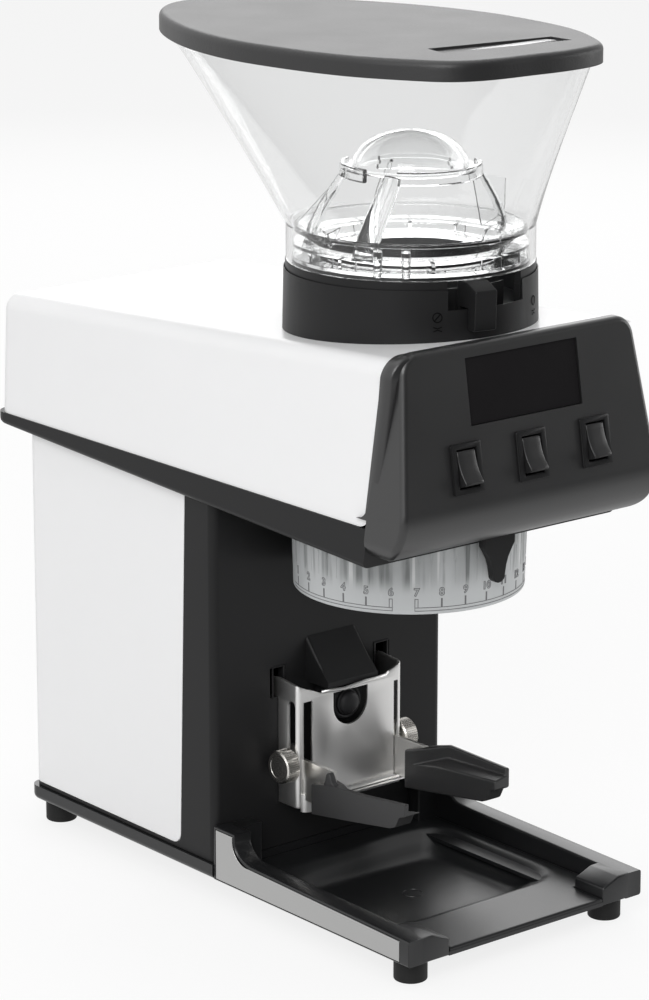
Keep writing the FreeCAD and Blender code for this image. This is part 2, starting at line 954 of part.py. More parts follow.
def make_head_cover():
    """White shell of the head with the hole under the collar."""
    body = head_block(0).cut(head_block(wall))
    return body.cut(disc(collar_ledge_bore + slack, pan_lip_z + over, collar_top))


def panel_block(inset):
    """Solid of the front panel, made smaller by inset, before its edges are rounded."""
    z0 = panel_chin_z - panel_chin_radius + inset
    chin_y = chin_centre_y()
    radius = panel_chin_radius - inset
    spread = math.cos(math.pi / 4) * radius
    push = inset / math.cos(face_tilt)
    face_top = vec(0, panel_y(panel_top_z - inset) + push, panel_top_z - inset)
    face_low = vec(0, chin_y - radius * math.cos(face_tilt), panel_chin_z + radius * math.sin(face_tilt))
    middle = vec(0, chin_y - spread, panel_chin_z - spread)
    chin = vec(0, chin_y, z0)
    beyond = head_front_round + over if inset else 0
    lower = [chin, vec(0, pan_front - slack + beyond, z0), vec(0, panel_seam_low_y + beyond, pan_lip_z)]
    upper = [vec(0, panel_seam_top_y + beyond, panel_top_z - inset), face_top, face_low]
    edges = [Part.Arc(face_low, middle, chin).toShape()]
    if inset:
        edges += chain(lower + upper)
    else:
        start, turn, end = seam_corner()
        edges += chain(lower + [start]) + [Part.Arc(start, turn, end).toShape()] + chain([end] + upper)
    face = Part.Face(Part.Wire(edges))
    face.translate(vec(-panel_low_half, 0, 0))
    profile = face.extrude(vec(2 * panel_low_half, 0, 0))
    low = panel_low_half - inset
    high = panel_high_half - inset
    bottom = panel_chin_z - panel_chin_radius
    outline = front_prism([(-low, bottom + inset), (low, bottom + inset), (low, panel_chin_z),
                           (high, panel_top_z - inset), (-high, panel_top_z - inset), (-low, panel_chin_z)],
                          -head_overrun, pan_front + head_overrun)
    corners_y = [e for e in edges_along(outline, vec(0, 1, 0)) if abs(e.CenterOfMass.z - panel_chin_z) > over]
    outline = rounded(outline, panel_corner - inset / 2, corners_y)
    return profile.common(outline)


def chain(points):
    """Straight edges from point to point."""
    return [Part.makeLine(a, b) for a, b in zip(points, points[1:])]


def seam_corner():
    """Start, middle and end of the round corner that the panel fills under the white cover."""
    low = pan_lip_z + seat / 2
    up = vec(0, panel_seam_top_y - panel_seam_low_y, panel_top_z - low).normalize()
    opening = math.acos(up.y)
    reach = head_front_round / math.tan(opening / 2)
    centre = vec(0, panel_seam_low_y + reach, low + head_front_round)
    first = math.radians(front_deg)
    swing = math.pi - opening
    return [centre + vec(0, math.cos(t), math.sin(t)) * head_front_round
            for t in (first, first - swing / 2, first - swing)]


def make_front_panel():
    """Leaning black panel with its chin, a window recess and three switch openings."""
    body = panel_block(0)
    front = [e for e in body.Edges if front_edge(e)]
    body = rounded(body, panel_edge_round, front)
    body = body.cut(panel_block(panel_skin))
    half = window_width / 2
    recess = block(-half, half, -over, window_recess + window_thickness, window_low, window_height)
    rim = board_margin
    behind = block(-half + rim, half - rim, -over, over, window_low + rim, window_height - rim)
    body = body.cut(on_panel(recess)).cut(on_panel(behind))
    for x in rocker_places():
        hole = block(x - switch_width / 2 - seat, x + switch_width / 2 + seat, -over, over,
                     rocker_centre_v - switch_height / 2 - seat, rocker_centre_v + switch_height / 2 + seat)
        body = body.cut(on_panel(hole))
    return body.removeSplitter()


def front_edge(edge):
    """True for an edge on the panel's outer front rim."""
    for parameter in (edge.FirstParameter, edge.LastParameter,
                      (edge.FirstParameter + edge.LastParameter) / 2):
        point = edge.valueAt(parameter)
        if point.y > chin_line_y(point.z) + hair:
            return False
    return True


def chin_centre_y():
    """Y of the centre of the chin's arc, which meets the leaning face without a corner."""
    return panel_y(panel_chin_z) + panel_chin_radius / math.cos(face_tilt)


def chin_line_y(z):
    """Y of the panel's front surface, chin included, at a height."""
    if z > panel_chin_z + panel_chin_radius * math.sin(face_tilt):
        return panel_y(z)
    depth = panel_chin_radius ** 2 - (panel_chin_z - z) ** 2
    return chin_centre_y() - math.sqrt(max(depth, 0))


def make_display_window():
    """Dark window let into the panel."""
    half = window_width / 2 - seat
    return on_panel(block(-half, half, window_recess, window_recess + window_thickness - hair,
                          window_low + seat, window_height - seat))


def make_display_board():
    """Board behind the window, on four posts."""
    half = window_width / 2
    back = panel_skin + board_gap
    board = block(-half, half, back, back + board_thickness, window_low - hair, window_height)
    posts = []
    for x in (-half + board_post, half - board_post):
        for z in (window_low + board_post, window_height - board_post):
            posts.append(barrel(board_post / 2, panel_skin + seat, back, x, z))
    return on_panel(board.fuse(posts))


def rocker_places():
    """X of the three switches."""
    return [-rocker_pitch, 0, rocker_pitch]


def make_switch_body(x):
    """Bezel and housing of one rocker switch."""
    bezel = block(x - bezel_width / 2, x + bezel_width / 2, -bezel_proud, -hair,
                  rocker_centre_v - bezel_height / 2, rocker_centre_v + bezel_height / 2)
    bezel = rounded(bezel, bezel_round, edges_along(bezel, vec(0, 1, 0)))
    box = block(x - switch_width / 2, x + switch_width / 2, -hair - hair, switch_depth,
                rocker_centre_v - switch_height / 2, rocker_centre_v + switch_height / 2)
    room = block(x - rocker_width / 2 - slack, x + rocker_width / 2 + slack, -over, rocker_depth + over,
                 rocker_centre_v - rocker_height / 2 - slack, rocker_centre_v + rocker_height / 2 + slack)
    pin = rod(rocker_pin, x - rocker_width / 2 - slack - hair, x + rocker_width / 2 + slack + hair,
              rocker_depth / 2, rocker_centre_v)
    return on_panel(bezel.fuse(box).cut(room).fuse(pin))


def make_rocker(x):
    """Rocker with two flats that meet at a shallow angle, turned to its resting side."""
    half = rocker_height / 2
    lean = math.tan(math.radians(rocker_tilt_deg))
    depth = rocker_depth / 2
    outline = [(-rocker_proud / 2 + depth - half * lean, half - slack),
               (depth - rocker_proud / 2 - bezel_proud, 0),
               (-rocker_proud / 2 + depth - half * lean, -half + slack), (depth + rocker_hub, -half / 2),
               (depth + rocker_hub, half / 2)]
    body = side_prism([(y, z + rocker_centre_v) for y, z in outline], x - rocker_width / 2,
                      x + rocker_width / 2)
    hub = rod(rocker_hub, x - rocker_width / 2, x + rocker_width / 2, depth, rocker_centre_v)
    bore = rod(rocker_pin + run_fit, x - rocker_width, x + rocker_width, depth, rocker_centre_v)
    body = body.fuse(hub).cut(bore)
    body.rotate(vec(x, depth, rocker_centre_v), vec(1, 0, 0), -rocker_tilt_deg)
    return on_panel(body)


# Hopper

def make_hopper_collar():
    """Black collar on the head's top, with the notch for the shutter lever."""
    body = taper(collar_low_radius, collar_high_radius, collar_foot, collar_top)
    body = body.cut(disc(collar_bore, collar_foot - over, collar_top + over))
    ledge = tube(collar_bore + hair, collar_ledge_bore, collar_ledge_z - collar_ledge_height, collar_ledge_z)
    body = body.fuse(ledge)
    above = side_prism([(-over, top_plane_z(-over) + hair), (head_rear, top_plane_z(head_rear) + hair),
                        (head_rear, lid_top), (-over, lid_top)], -base_half, base_half)
    body = body.common(above)
    notch = sector(collar_ledge_bore, collar_low_radius + over, notch_floor, collar_top + over,
                   -notch_left_deg, notch_right_deg)
    return body.cut(notch)


def floor_sectors(z0, z1):
    """Openings that the beans fall through."""
    piece = sector(sector_inner, sector_outer, z0, z1, -sector_deg / 2, sector_deg / 2)
    return around(piece, sector_count, full_turn_deg / sector_count / 2)


def make_hopper_base():
    """Black ring that carries the clear hopper and stands in the collar."""
    low = collar_ledge_z + seat
    body = tube(hopper_ring_radius, hopper_ring_radius - hopper_ring_wall, low, hopper_ring_top)
    floor = disc(hopper_ring_radius - hopper_ring_wall + hair, low, low + hopper_floor)
    body = body.fuse(floor).cut(floor_sectors(low - over, low + hopper_floor + over))
    pivot = disc(shutter_hub - run_fit, low, low + hopper_floor + shutter_lift + shutter_thickness + slack)
    window = sector(lever_window_bore, hopper_ring_radius + over, low + hopper_floor + slack,
                    lever_top + slack,
                    -notch_left_deg, notch_right_deg)
    return body.fuse(pivot).cut(window)


def make_bean_shutter():
    """Turning disc with three openings and the lever that reaches out through the notch."""
    low = collar_ledge_z + seat + hopper_floor + shutter_lift
    plate = tube(shutter_radius, shutter_hub, low, low + shutter_thickness)
    plate = plate.cut(floor_sectors(low - over, low + shutter_thickness + over))
    y_of = axis_y
    root = shutter_radius - hopper_floor
    face = collar_low_radius + slack
    outline = [(y_of - root, low), (y_of - root, low + shutter_thickness),
               (y_of - root - hopper_floor / 2, lever_top),
               (y_of - face, lever_top), (y_of - lever_reach, lever_nose_z), (y_of - lever_reach, lever_low),
               (y_of - face, lever_low), (y_of - face, low)]
    lever = side_prism(outline, -lever_width / 2, lever_width / 2)
    body = plate.fuse(turned(lever, lever_deg))
    return body.removeSplitter()


def lid_wire(share, z, grow=0.0):
    """Closed boat-shaped outline at a height, scaled about the middle of the lid and grown outwards."""
    middle = lid_front + lid_length / 2
    half_length = lid_length / 2 * share + grow
    half_width = lid_half * share + grow
    right = [(a * half_width, middle - half_length + b * 2 * half_length)
             for a, b in zip(lid_across_shares, lid_along_shares)]
    rear = [(0.0, middle + half_length)]
    left = [(-x, y) for x, y in reversed(right[1:])]
    points = [vec(x, y, z) for x, y in right + rear + left]
    curve = Part.BSplineCurve()
    curve.interpolate(points, PeriodicFlag=True)
    return Part.Wire([curve.toShape()])


def round_wire(radius, z):
    """Closed outline of a circle, through as many points as the lid's outline has."""
    points = [vec(radius * a, axis_y + radius * b, z) for a, b in lid_directions()]
    curve = Part.BSplineCurve()
    curve.interpolate(points, PeriodicFlag=True)
    return Part.Wire([curve.toShape()])


def lid_directions():
    """Unit directions from the burr axis, spread evenly, one for each point of the lid's outline."""
    count = 2 * len(lid_across_shares)
    step = 2 * math.pi / count
    return [(math.sin(step * i), -math.cos(step * i)) for i in range(count)]


def hopper_solid(inset):
    """Outer or inner solid of the clear hopper: a round neck that flares to the lid's outline."""
    neck_low = hopper_ring_top + seat - (over if inset else 0)
    low_wire = round_wire(neck_radius - inset, neck_top)
    rim_wire = lid_wire(hopper_to_lid_share, hopper_top, -inset)
    flare = Part.makeLoft([low_wire, rim_wire], True, True)
    neck = Part.Face(round_wire(neck_radius - inset, neck_low)).extrude(vec(0, 0, neck_top - neck_low))
    solid = flare.fuse(neck)
    if inset:
        solid = solid.fuse(Part.Face(rim_wire).extrude(vec(0, 0, over)))
    return solid.removeSplitter()


def make_hopper_shell():
    """Clear hopper: round neck, flared and lengthened to the rear."""
    return hopper_solid(0).cut(hopper_solid(hopper_wall))


def lid_slab(grow, z0, z1):
    """Upright solid of the hopper's rim outline, grown outwards, between two heights."""
    return Part.Face(lid_wire(hopper_to_lid_share, z0, grow)).extrude(vec(0, 0, z1 - z0))


def make_hopper_lid():
    """Black boat-shaped lid with a rim, a locating rib and a grip recess."""
    body = Part.Face(lid_wire(1.0, lid_bottom)).extrude(vec(0, 0, lid_top - lid_bottom))
    body = rounded(body, lid_round, edges_in_plane(body, lid_top))
    ceiling = lid_top - lid_skin
    body = body.cut(lid_slab(lid_gap, lid_bottom - over, ceiling))
    rib_inset = hopper_wall + lid_rib_gap
    rib_low = lid_bottom - lid_rib_drop
    rib = lid_slab(-rib_inset, rib_low, ceiling + hair).cut(lid_slab(-rib_inset - lid_rib, rib_low - over,
                                                                     ceiling))
    body = body.fuse(rib)
    recess = plan_prism([(grip_left - grip_skew / 2, grip_front + grip_skew), (grip_right, grip_front),
                         (grip_right, grip_rear), (grip_left, grip_rear + grip_skew)],
                        lid_top - grip_depth, lid_top + over)
    return body.cut(recess)


def make_finger_guard():
    """Clear dome on four slanted legs that keeps fingers from the burrs."""
    low = guard_plate_z
    radius = neck_radius - hopper_wall - slack
    plate = tube(radius, guard_plate_bore, low, low + guard_plate_thickness)
    skirt = tube(radius, guard_skirt_bore, hopper_ring_top + seat, low + hair)
    rim = tube(guard_rim_radius, guard_rim_radius - guard_rim_wall, guard_rim_z,
               guard_rim_z + guard_rim_height)
    top = guard_rim_z + guard_rim_height
    foot = guard_leg_foot
    reach = guard_rim_radius - guard_rim_wall / 2
    outline = [(axis_y - foot - guard_leg_depth / 2, low), (axis_y - foot + guard_leg_depth, low),
               (axis_y - reach + guard_leg_depth / 2, guard_rim_z + guard_rim_height / 2),
               (axis_y - reach - guard_leg_depth / 2, guard_rim_z + guard_rim_height / 2)]
    leg = side_prism(outline, -guard_leg_width / 2, guard_leg_width / 2)
    legs = around(leg, guard_leg_count, guard_leg_start_deg)
    return rim.fuse(legs + [plate, skirt, dome(top)]).removeSplitter()


def dome(base_z):
    """Thin spherical cap that stands on the guard's rim."""
    base = dome_radius + dome_wall
    height = dome_top - base_z
    sphere_radius = (base ** 2 + height ** 2) / (2 * height)
    centre = vec(0, axis_y, dome_top - sphere_radius)
    ball = Part.makeSphere(sphere_radius, centre)
    hollow = Part.makeSphere(sphere_radius - dome_wall, centre)
    cap = block(-base_half, base_half, 0, plinth_rear, base_z - hair, dome_top + over)
    return ball.common(cap).cut(hollow)


# Adjustment ring and pointer

def make_adjustment_ring():
    """Pale numbered ring under the head, ribbed on its upper part, with a shelf inside."""
    body = taper(ring_low_radius, ring_top_radius, ring_bottom, ring_top)
    body = rounded(body, ring_edge, edges_in_plane(body, ring_bottom))
    body = body.cut(disc(ring_bore, ring_bottom - over, ring_top + over))
    shelf = tube(ring_bore + hair, ring_shelf_bore, ring_shelf_z, ring_shelf_z + ring_shelf_height)
    groove = disc(grip_groove_radius, grip_groove_low, ring_top + over, 0,
                  axis_y - ring_top_radius + grip_groove_depth - grip_groove_radius)
    return body.fuse(shelf).cut(around(groove, grip_groove_count))


def make_scale_pointer():
    """Small pointer that hangs from the chin over the ring's scale."""
    outline = [(-pointer_half, pointer_root_z), (pointer_half, pointer_root_z),
               (pointer_half, pointer_shoulder_z),
               (pointer_waist, pointer_waist_z), (pointer_tip_half, pointer_tip_z),
               (-pointer_tip_half, pointer_tip_z), (-pointer_waist, pointer_waist_z),
               (-pointer_half, pointer_shoulder_z)]
    body = front_prism(outline, pointer_front, pointer_front + pointer_depth)
    return body.cut(panel_block(0)).cut(side_prism([(0, pan_under_front + seat),
                                                    (pan_front, pan_under_front + seat),
                                                    (pan_front, lid_top), (0, lid_top)], -pan_half, pan_half))


# Bracket and fork

def make_bracket_plate():
    """Bent steel bracket: front plate, side flanges, hooks in the column and a lip at the foot."""
    outline = [(-bracket_half, bracket_low), (bracket_half, bracket_low), (bracket_half, bracket_top),
               (bracket_dip_shoulder, bracket_top - bracket_dip_drop), (bracket_dip_half, bracket_dip),
               (-bracket_dip_half, bracket_dip), (-bracket_dip_shoulder, bracket_top - bracket_dip_drop),
               (-bracket_half, bracket_top)]
    front = front_prism(outline, bracket_front, bracket_front + sheet)
    notch = block(-notch_half, notch_half, 0, column_front, notch_low + notch_half, bracket_dip - sheet)
    notch = notch.fuse(barrel(notch_half, 0, column_front, 0, notch_low + notch_half))
    slot = block(slot_inner, slot_outer, 0, column_front, slot_low, slot_high)
    front = front.cut([notch, slot, mirrored(slot)])
    flange = block(bracket_half - sheet, bracket_half, bracket_front, column_front - seat, bracket_low,
                   bracket_top)
    opening = block(bracket_half - over, bracket_half + over, flange_slot_y - flange_slot_width / 2,
                    flange_slot_y + flange_slot_width / 2, flange_slot_low, flange_slot_high)
    flange = flange.cut(opening)
    hook = block(bracket_half - sheet, bracket_half, column_front - over, column_front + hook_reach,
                 hook_low + hook_drop, hook_high - hook_drop)
    tooth = block(bracket_half - sheet, bracket_half, column_front + wall + slack + cover_skin,
                  column_front + hook_reach + slack,
                  hook_low + slack, hook_high - hook_drop)
    lip = side_prism([(bracket_front + hair, bracket_lip_z + sheet),
                      (bracket_front - bracket_lip_depth, bracket_lip_z - sheet),
                      (bracket_front - bracket_lip_depth, bracket_lip_z - 2 * sheet),
                      (bracket_front + hair, bracket_lip_z - sheet)],
                     -bracket_lip_half, bracket_lip_half)
    brow = side_prism([(bracket_front + sheet, bracket_dip - sheet), (bracket_front + sheet, bracket_dip),
                       (bracket_front, bracket_dip),
                       (bracket_front - bracket_brow_reach, bracket_dip + bracket_brow_lift),
                       (bracket_front - bracket_brow_reach, bracket_dip + bracket_brow_lift - sheet),
                       (bracket_front, bracket_dip - sheet)],
                      -bracket_dip_half, bracket_dip_half)
    sides = flange.fuse([hook, tooth])
    return front.fuse([sides, mirrored(sides), lip, brow]).removeSplitter()


def make_fork_carrier():
    """Steel slide behind the plate with two blades that reach forward through the slots."""
    inner = carrier_outer - carrier_sheet
    back = bracket_front + sheet + slack
    bar = block(-carrier_outer, carrier_outer, back, back + carrier_sheet, carrier_bar_low, carrier_bar_high)
    ear = block(inner, carrier_outer, back, carrier_ear_rear, carrier_bar_low, carrier_ear_high)
    bridge = block(inner, carrier_outer, bracket_front - slack - hair, back + hair, slot_low + slack,
                   carrier_high)
    blade = block(inner, carrier_outer, carrier_front, bracket_front - slack, carrier_low, carrier_high)
    bore = rod(knob_shank + run_fit, 0, bracket_half + over, flange_slot_y, knob_z)
    side = ear.fuse([bridge, blade]).cut(bore)
    return bar.fuse([side, mirrored(side)]).removeSplitter()


def make_fork_arm(top):
    """Right arm of the fork: a slim wall with an inner ledge that the basket rests on."""
    outline = [(arm_rear, arm_rear_low)] + list(top) + [(top[-1][0], arm_tip_low)] + list(arm_scoop)
    body = side_prism(outline + [(arm_heel_y, arm_heel_low)], arm_inner, arm_outer)
    plan = plan_prism([(arm_inner, arm_rear), (arm_outer, arm_rear), (arm_outer, arm_rest_wall_y),
                       (arm_front_half, 0),
                       (arm_inner, 0)], 0, ear_top + top[-1][1])
    body = body.common(plan)
    inner = carrier_outer - carrier_sheet
    pocket = block(inner - seat, carrier_outer + seat, carrier_front - seat, arm_rear + over, 0,
                   carrier_high + seat)
    return body.cut([arm_rest(top), pocket])


def arm_rest(top):
    """Room over the ledge of a fork arm, between its rim and the basket."""
    wall_x = arm_outer - arm_rim
    side = arm_inner - over
    ledge = [(y, z - arm_rest_depth) for y, z in top[:-1]]
    ledge += [(top[-1][0] - over, top[-1][1] - arm_rest_front_depth)]
    rooms = []
    for (y0, z0), (y1, z1) in zip(ledge, ledge[1:]):
        high = z0 + 2 * arm_rest_depth
        section = [vec(side, y0, z0 - arm_rest_lean), vec(wall_x, y0, z0), vec(wall_x, y0, high),
                   vec(side, y0, high)]
        rooms.append(prism(section, vec(0, y1 - y0, z1 - z0)))
    plan = plan_prism([(side, arm_rest_rear), (arm_inner, arm_rest_rear), (wall_x, arm_rest_wall_y),
                       (arm_front_half - arm_rim, 0), (side, 0)], 0, ear_top + top[-1][1])
    return rooms[0].fuse(rooms[1:]).common(plan)


def make_thumb_screw():
    """Right knurled screw that clamps the carrier to the flange."""
    knob = rod(knob_radius, knob_inner, knob_outer, flange_slot_y, knob_z)
    rims = [e for e in knob.Edges if isinstance(e.Curve, Part.Circle)]
    knob = rounded(knob, knob_edge, rims)
    shank = rod(knob_shank, carrier_outer - carrier_sheet, knob_inner + hair, flange_slot_y, knob_z)
    return knob.fuse(shank)


def make_switch_hood():
    """Sloping hood that keeps grounds off the start button."""
    def hood(inset):
        low = hood_low_z - (over if inset else 0)
        outline = [(column_front - seat, low), (column_front - seat, hood_top_z - inset),
                   (hood_brow_y + inset, hood_brow_z - inset / 2),
                   (hood_front_y + inset, hood_brow_z - hood_brow_drop - inset / 2),
                   (hood_front_y + inset, low)]
        return side_prism(outline, -hood_half + inset, hood_half - inset)
    body = hood(0)
    top = [e for e in body.Edges if e.BoundBox.XLength < hair and e.BoundBox.YMin < column_front - over
           and e.BoundBox.ZMin > hood_low_z + hair and e.BoundBox.YLength > over]
    body = rounded(body, hood_round, top)
    return body.cut(hood(hood_skin))


def make_start_button():
    """Round button, pushed in by the portafilter."""
    body = barrel(button_radius, button_front, button_rear, 0, button_z)
    rim = [e for e in body.Edges if isinstance(e.Curve,
                                               Part.Circle) and e.BoundBox.YMax < button_front + hair]
    return rounded(body, button_crown, rim)


def make_start_switch():
    """Boot on the column's face and the switch behind it."""
    boot = barrel(boot_radius, boot_front, column_front - seat, 0, button_z)
    rim = [e for e in boot.Edges if isinstance(e.Curve, Part.Circle) and e.BoundBox.YMax < boot_front + hair]
    boot = rounded(boot, button_crown, rim)
    body = barrel(start_body_half, column_front - over, column_front + start_body_depth, 0, button_z)
    bore = barrel(boot_bore, 0, boot_front + boot_depth + button_travel, 0, button_z)
    return boot.fuse(body).cut(bore)


# Plate, gear case and gears

def make_support_plate():
    """Steel plate on the column's ledge that carries the gear case and the motor."""
    body = block(-plate_half, plate_half, plate_front, plate_rear, column_top, column_top + plate_thickness)
    return body.cut(disc(motor_opening, 0, lid_top, 0, motor_y))


def gear_radius(module, teeth):
    """Tip radius of a gear."""
    return module * (teeth / 2 + addendum_share)


def case_rooms(grow, low_wall):
    """Discs that clear the gears, made larger by grow, up to the low or the high wall."""
    floor = column_top + plate_thickness + case_floor
    if low_wall:
        top = case_low_wall_top + (over if not grow else 0)
        spots = [(gear_radius(coarse_module, drive_teeth), axis_y),
                 (gear_radius(coarse_module, second_wheel_teeth), second_y)]
    else:
        top = case_high_wall_top + (over if not grow else 0)
        spots = [(gear_radius(fine_module, first_wheel_teeth), first_y),
                 (gear_radius(fine_module, motor_teeth), motor_y)]
    return [disc(radius + gear_room + grow, floor, top, 0, y) for radius, y in spots]


def make_gear_case():
    """Gear case with its floor, walls, axles and the spigot that the adjustment ring turns on."""
    low = column_top + plate_thickness
    floor = block(-case_wide_half, case_wide_half, case_wide_front, case_wide_rear, low, low + case_floor)
    tail = block(-case_narrow_half, case_narrow_half, case_wide_front, case_rear, low, low + case_floor)
    nose = disc(spigot_radius, low, low + case_floor)
    body = floor.fuse([tail, nose, tube(spigot_radius, spigot_bore, spigot_low, low + hair)])
    body = body.fuse(case_rooms(case_wall, True) + case_rooms(case_wall, False))
    for room in case_rooms(0, True) + case_rooms(0, False):
        body = body.cut(room)
    body = body.cut(disc(housing_radius + case_wall + slack, case_low_wall_top, lid_top))
    body = body.cut(disc(spindle_hole, 0, lid_top))
    body = body.cut(disc(motor_shaft_hole, 0, lid_top, 0, motor_y))
    body = body.cut(block(-chute_half - slack, chute_half + slack, chute_front - slack - over,
                          chute_rear + slack, low - over, chute_top))
    axle_low = low + case_floor - hair
    axles = [disc(axle_radius, axle_low, case_low_wall_top - axle_top_gap, 0, second_y),
             disc(axle_radius, axle_low, case_high_wall_top - axle_top_gap, 0, first_y)]
    posts = [disc(guide_pin_radius + carrier_sheet, spigot_low + slack, low + hair, x, y) for x,
             y in guide_places()]
    return body.fuse(axles + posts).removeSplitter()


def guide_places():
    """Centres of the guide pins of the thrust carrier."""
    places = []
    for i in range(carrier_arm_count):
        angle = math.radians(carrier_arm_start_deg + full_turn_deg / carrier_arm_count * i)
        places.append((guide_pin_at * math.cos(angle), axis_y + guide_pin_at * math.sin(angle)))
    return places


def make_guide_pins():
    """Three pins that let the thrust carrier rise without turning."""
    top = spigot_low + slack - hair
    return Part.makeCompound([disc(guide_pin_radius, ring_shelf_z, top, x, y) for x, y in guide_places()])


def make_gear_cover():
    """Lid over the rear gears."""
    body = disc(gear_radius(fine_module, first_wheel_teeth) + gear_room + case_wall,
                case_high_wall_top + hair,
                case_high_wall_top + case_cover, 0, first_y)
    tail = disc(gear_radius(fine_module, motor_teeth) + gear_room + case_wall, case_high_wall_top + hair,
                case_high_wall_top + case_cover, 0, motor_y)
    return body.fuse(tail).removeSplitter()


def involute(angle):
    """Involute function."""
    return math.tan(angle) - angle


def gear(module, teeth, z0, width, y, tooth_deg):
    """Spur gear blank with involute flanks; tooth_deg is the direction of one tooth."""
    pitch = module * teeth / 2
    base = pitch * math.cos(math.radians(pressure_deg))
    tip = gear_radius(module, teeth)
    root = pitch - module * dedendum_share
    half_at_pitch = math.pi / teeth / 2 - backlash_share * module / pitch / 2

    def half_angle(radius):
        reach = max(radius, base)
        return half_at_pitch + involute(math.radians(pressure_deg)) - involute(math.acos(base / reach))
    radii = [root, max(base, root + (pitch - root) / 2), (pitch + tip) / 2, tip]
    points = []
    for i in range(teeth):
        middle = math.radians(tooth_deg) + 2 * math.pi * i / teeth
        for radius in radii:
            angle = middle - half_angle(radius)
            points.append((radius * math.cos(angle), y + radius * math.sin(angle)))
        for radius in reversed(radii):
            angle = middle + half_angle(radius)
            points.append((radius * math.cos(angle), y + radius * math.sin(angle)))
    return plan_prism(points, z0, z0 + width)


def gap_towards(teeth, direction_deg):
    """Tooth direction that puts a gap in the given direction."""
    return direction_deg + full_turn_deg / teeth / 2


def wheel_recess(module, teeth, z0, width, y):
    """Ring cut from one side of a wheel to leave a web."""
    outer = module * (teeth / 2 - dedendum_share) - wheel_rim + wheel_web
    return tube(outer, wheel_hub, z0 + wheel_web, z0 + width + over, 0, y)


def make_motor_pinion():
    """Steel pinion on the motor's shaft."""
    z0 = first_wheel_z - (motor_pinion_width - first_wheel_width) / 2
    body = gear(fine_module, motor_teeth, z0, motor_pinion_width, motor_y, front_deg)
    return body.cut(disc(motor_shaft + hair, 0, lid_top, 0, motor_y))


def make_first_idler():
    """Wheel and small pinion in one, driven by the motor pinion."""
    wheel = gear(fine_module, first_wheel_teeth, first_wheel_z, first_wheel_width, first_y,
                 gap_towards(first_wheel_teeth, rear_deg))
    wheel = wheel.cut(wheel_recess(fine_module, first_wheel_teeth, first_wheel_z, first_wheel_width, first_y))
    pinion = gear(coarse_module, first_pinion_teeth, first_pinion_z, first_pinion_width, first_y, front_deg)
    neck = disc(wheel_hub, first_pinion_z + first_pinion_width - hair, first_wheel_z + hair, 0, first_y)
    return wheel.fuse([pinion, neck]).cut(disc(axle_radius + run_fit, 0, lid_top, 0, first_y))


def make_second_idler():
    """Wheel above and pinion below, driven by the first idler."""
    wheel = gear(coarse_module, second_wheel_teeth, second_wheel_z, second_wheel_width, second_y,
                 gap_towards(second_wheel_teeth, rear_deg))
    pinion = gear(coarse_module, second_pinion_teeth, drive_gear_z, second_pinion_width, second_y, front_deg)
    neck = disc(wheel_hub, drive_gear_z + second_pinion_width - hair, second_wheel_z + hair, 0, second_y)
    return wheel.fuse([pinion, neck]).cut(disc(axle_radius + run_fit, 0, lid_top, 0, second_y))


def make_drive_gear():
    """Large gear on the spindle."""
    body = gear(coarse_module, drive_teeth, drive_gear_z, drive_gear_width, axis_y,
                gap_towards(drive_teeth, rear_deg))
    body = body.cut(wheel_recess(coarse_module, drive_teeth, drive_gear_z, drive_gear_width, axis_y))
    return body.cut(disc(spindle_radius + hair, 0, lid_top))


# Motor

def make_motor_can():
    """Steel can with end plates, bushes and two magnets inside."""
    top = column_top + plate_thickness - hair
    body = disc(motor_radius, motor_bottom, top, 0, motor_y)
    room = disc(motor_radius - motor_wall, motor_bottom + motor_end, top - motor_end, 0, motor_y)
    magnet = tube(motor_radius - motor_wall + hair, magnet_inner, magnet_low, magnet_high, 0, motor_y)
    gap = block(-magnet_cut, magnet_cut, motor_y - motor_radius, motor_y + motor_radius, magnet_low,
                magnet_high)
    body = body.cut(room).fuse(magnet.cut(gap))
    return body.cut(disc(motor_shaft + run_fit, 0, lid_top, 0, motor_y))


def make_motor_rotor():
    """Shaft with its wound core, commutator and fan."""
    top = first_wheel_z + motor_pinion_width
    shaft = disc(motor_shaft, motor_shaft_low, top, 0, motor_y)
    core = disc(core_radius, core_low, core_high, 0, motor_y)
    commutator = disc(commutator_radius, commutator_low, commutator_high, 0, motor_y)
    fan = disc(fan_radius, fan_low, fan_high, 0, motor_y)
    return shaft.fuse([core, commutator, fan])


# Spindle and burrs

def make_bearing(z0):
    """Sealed ball bearing seen as two races with a groove between them."""
    body = tube(bearing_radius - hair, spindle_radius + run_fit, z0, z0 + bearing_width)
    middle = tube(bearing_radius - bearing_race, spindle_radius + bearing_race, z0 - over,
                  z0 + bearing_groove)
    upper = tube(bearing_radius - bearing_race, spindle_radius + bearing_race,
                 z0 + bearing_width - bearing_groove,
                 z0 + bearing_width + over)
    return body.cut([middle, upper])


def make_thrust_carrier():
    """Hub with three arms that the ring's shelf lifts; it holds the lower bearing."""
    hub = disc(carrier_hub_radius, carrier_hub_low, carrier_hub_high)
    pocket = disc(bearing_radius, lower_bearing_z - hair, carrier_hub_high + over)
    hole = disc(spindle_radius + slack, carrier_hub_low - over, carrier_hub_high)
    arms = []
    for i in range(carrier_arm_count):
        angle = carrier_arm_start_deg + full_turn_deg / carrier_arm_count * i
        arm = block(0, carrier_arm_reach, axis_y - carrier_arm_width / 2, axis_y + carrier_arm_width / 2,
                    carrier_hub_low, carrier_hub_low + carrier_arm_height)
        arms.append(turned(arm, angle))
    body = hub.fuse(arms).cut([pocket, hole])
    return body.cut([disc(guide_pin_radius + guide_pin_gap, 0, lid_top, x, y) for x, y in guide_places()])


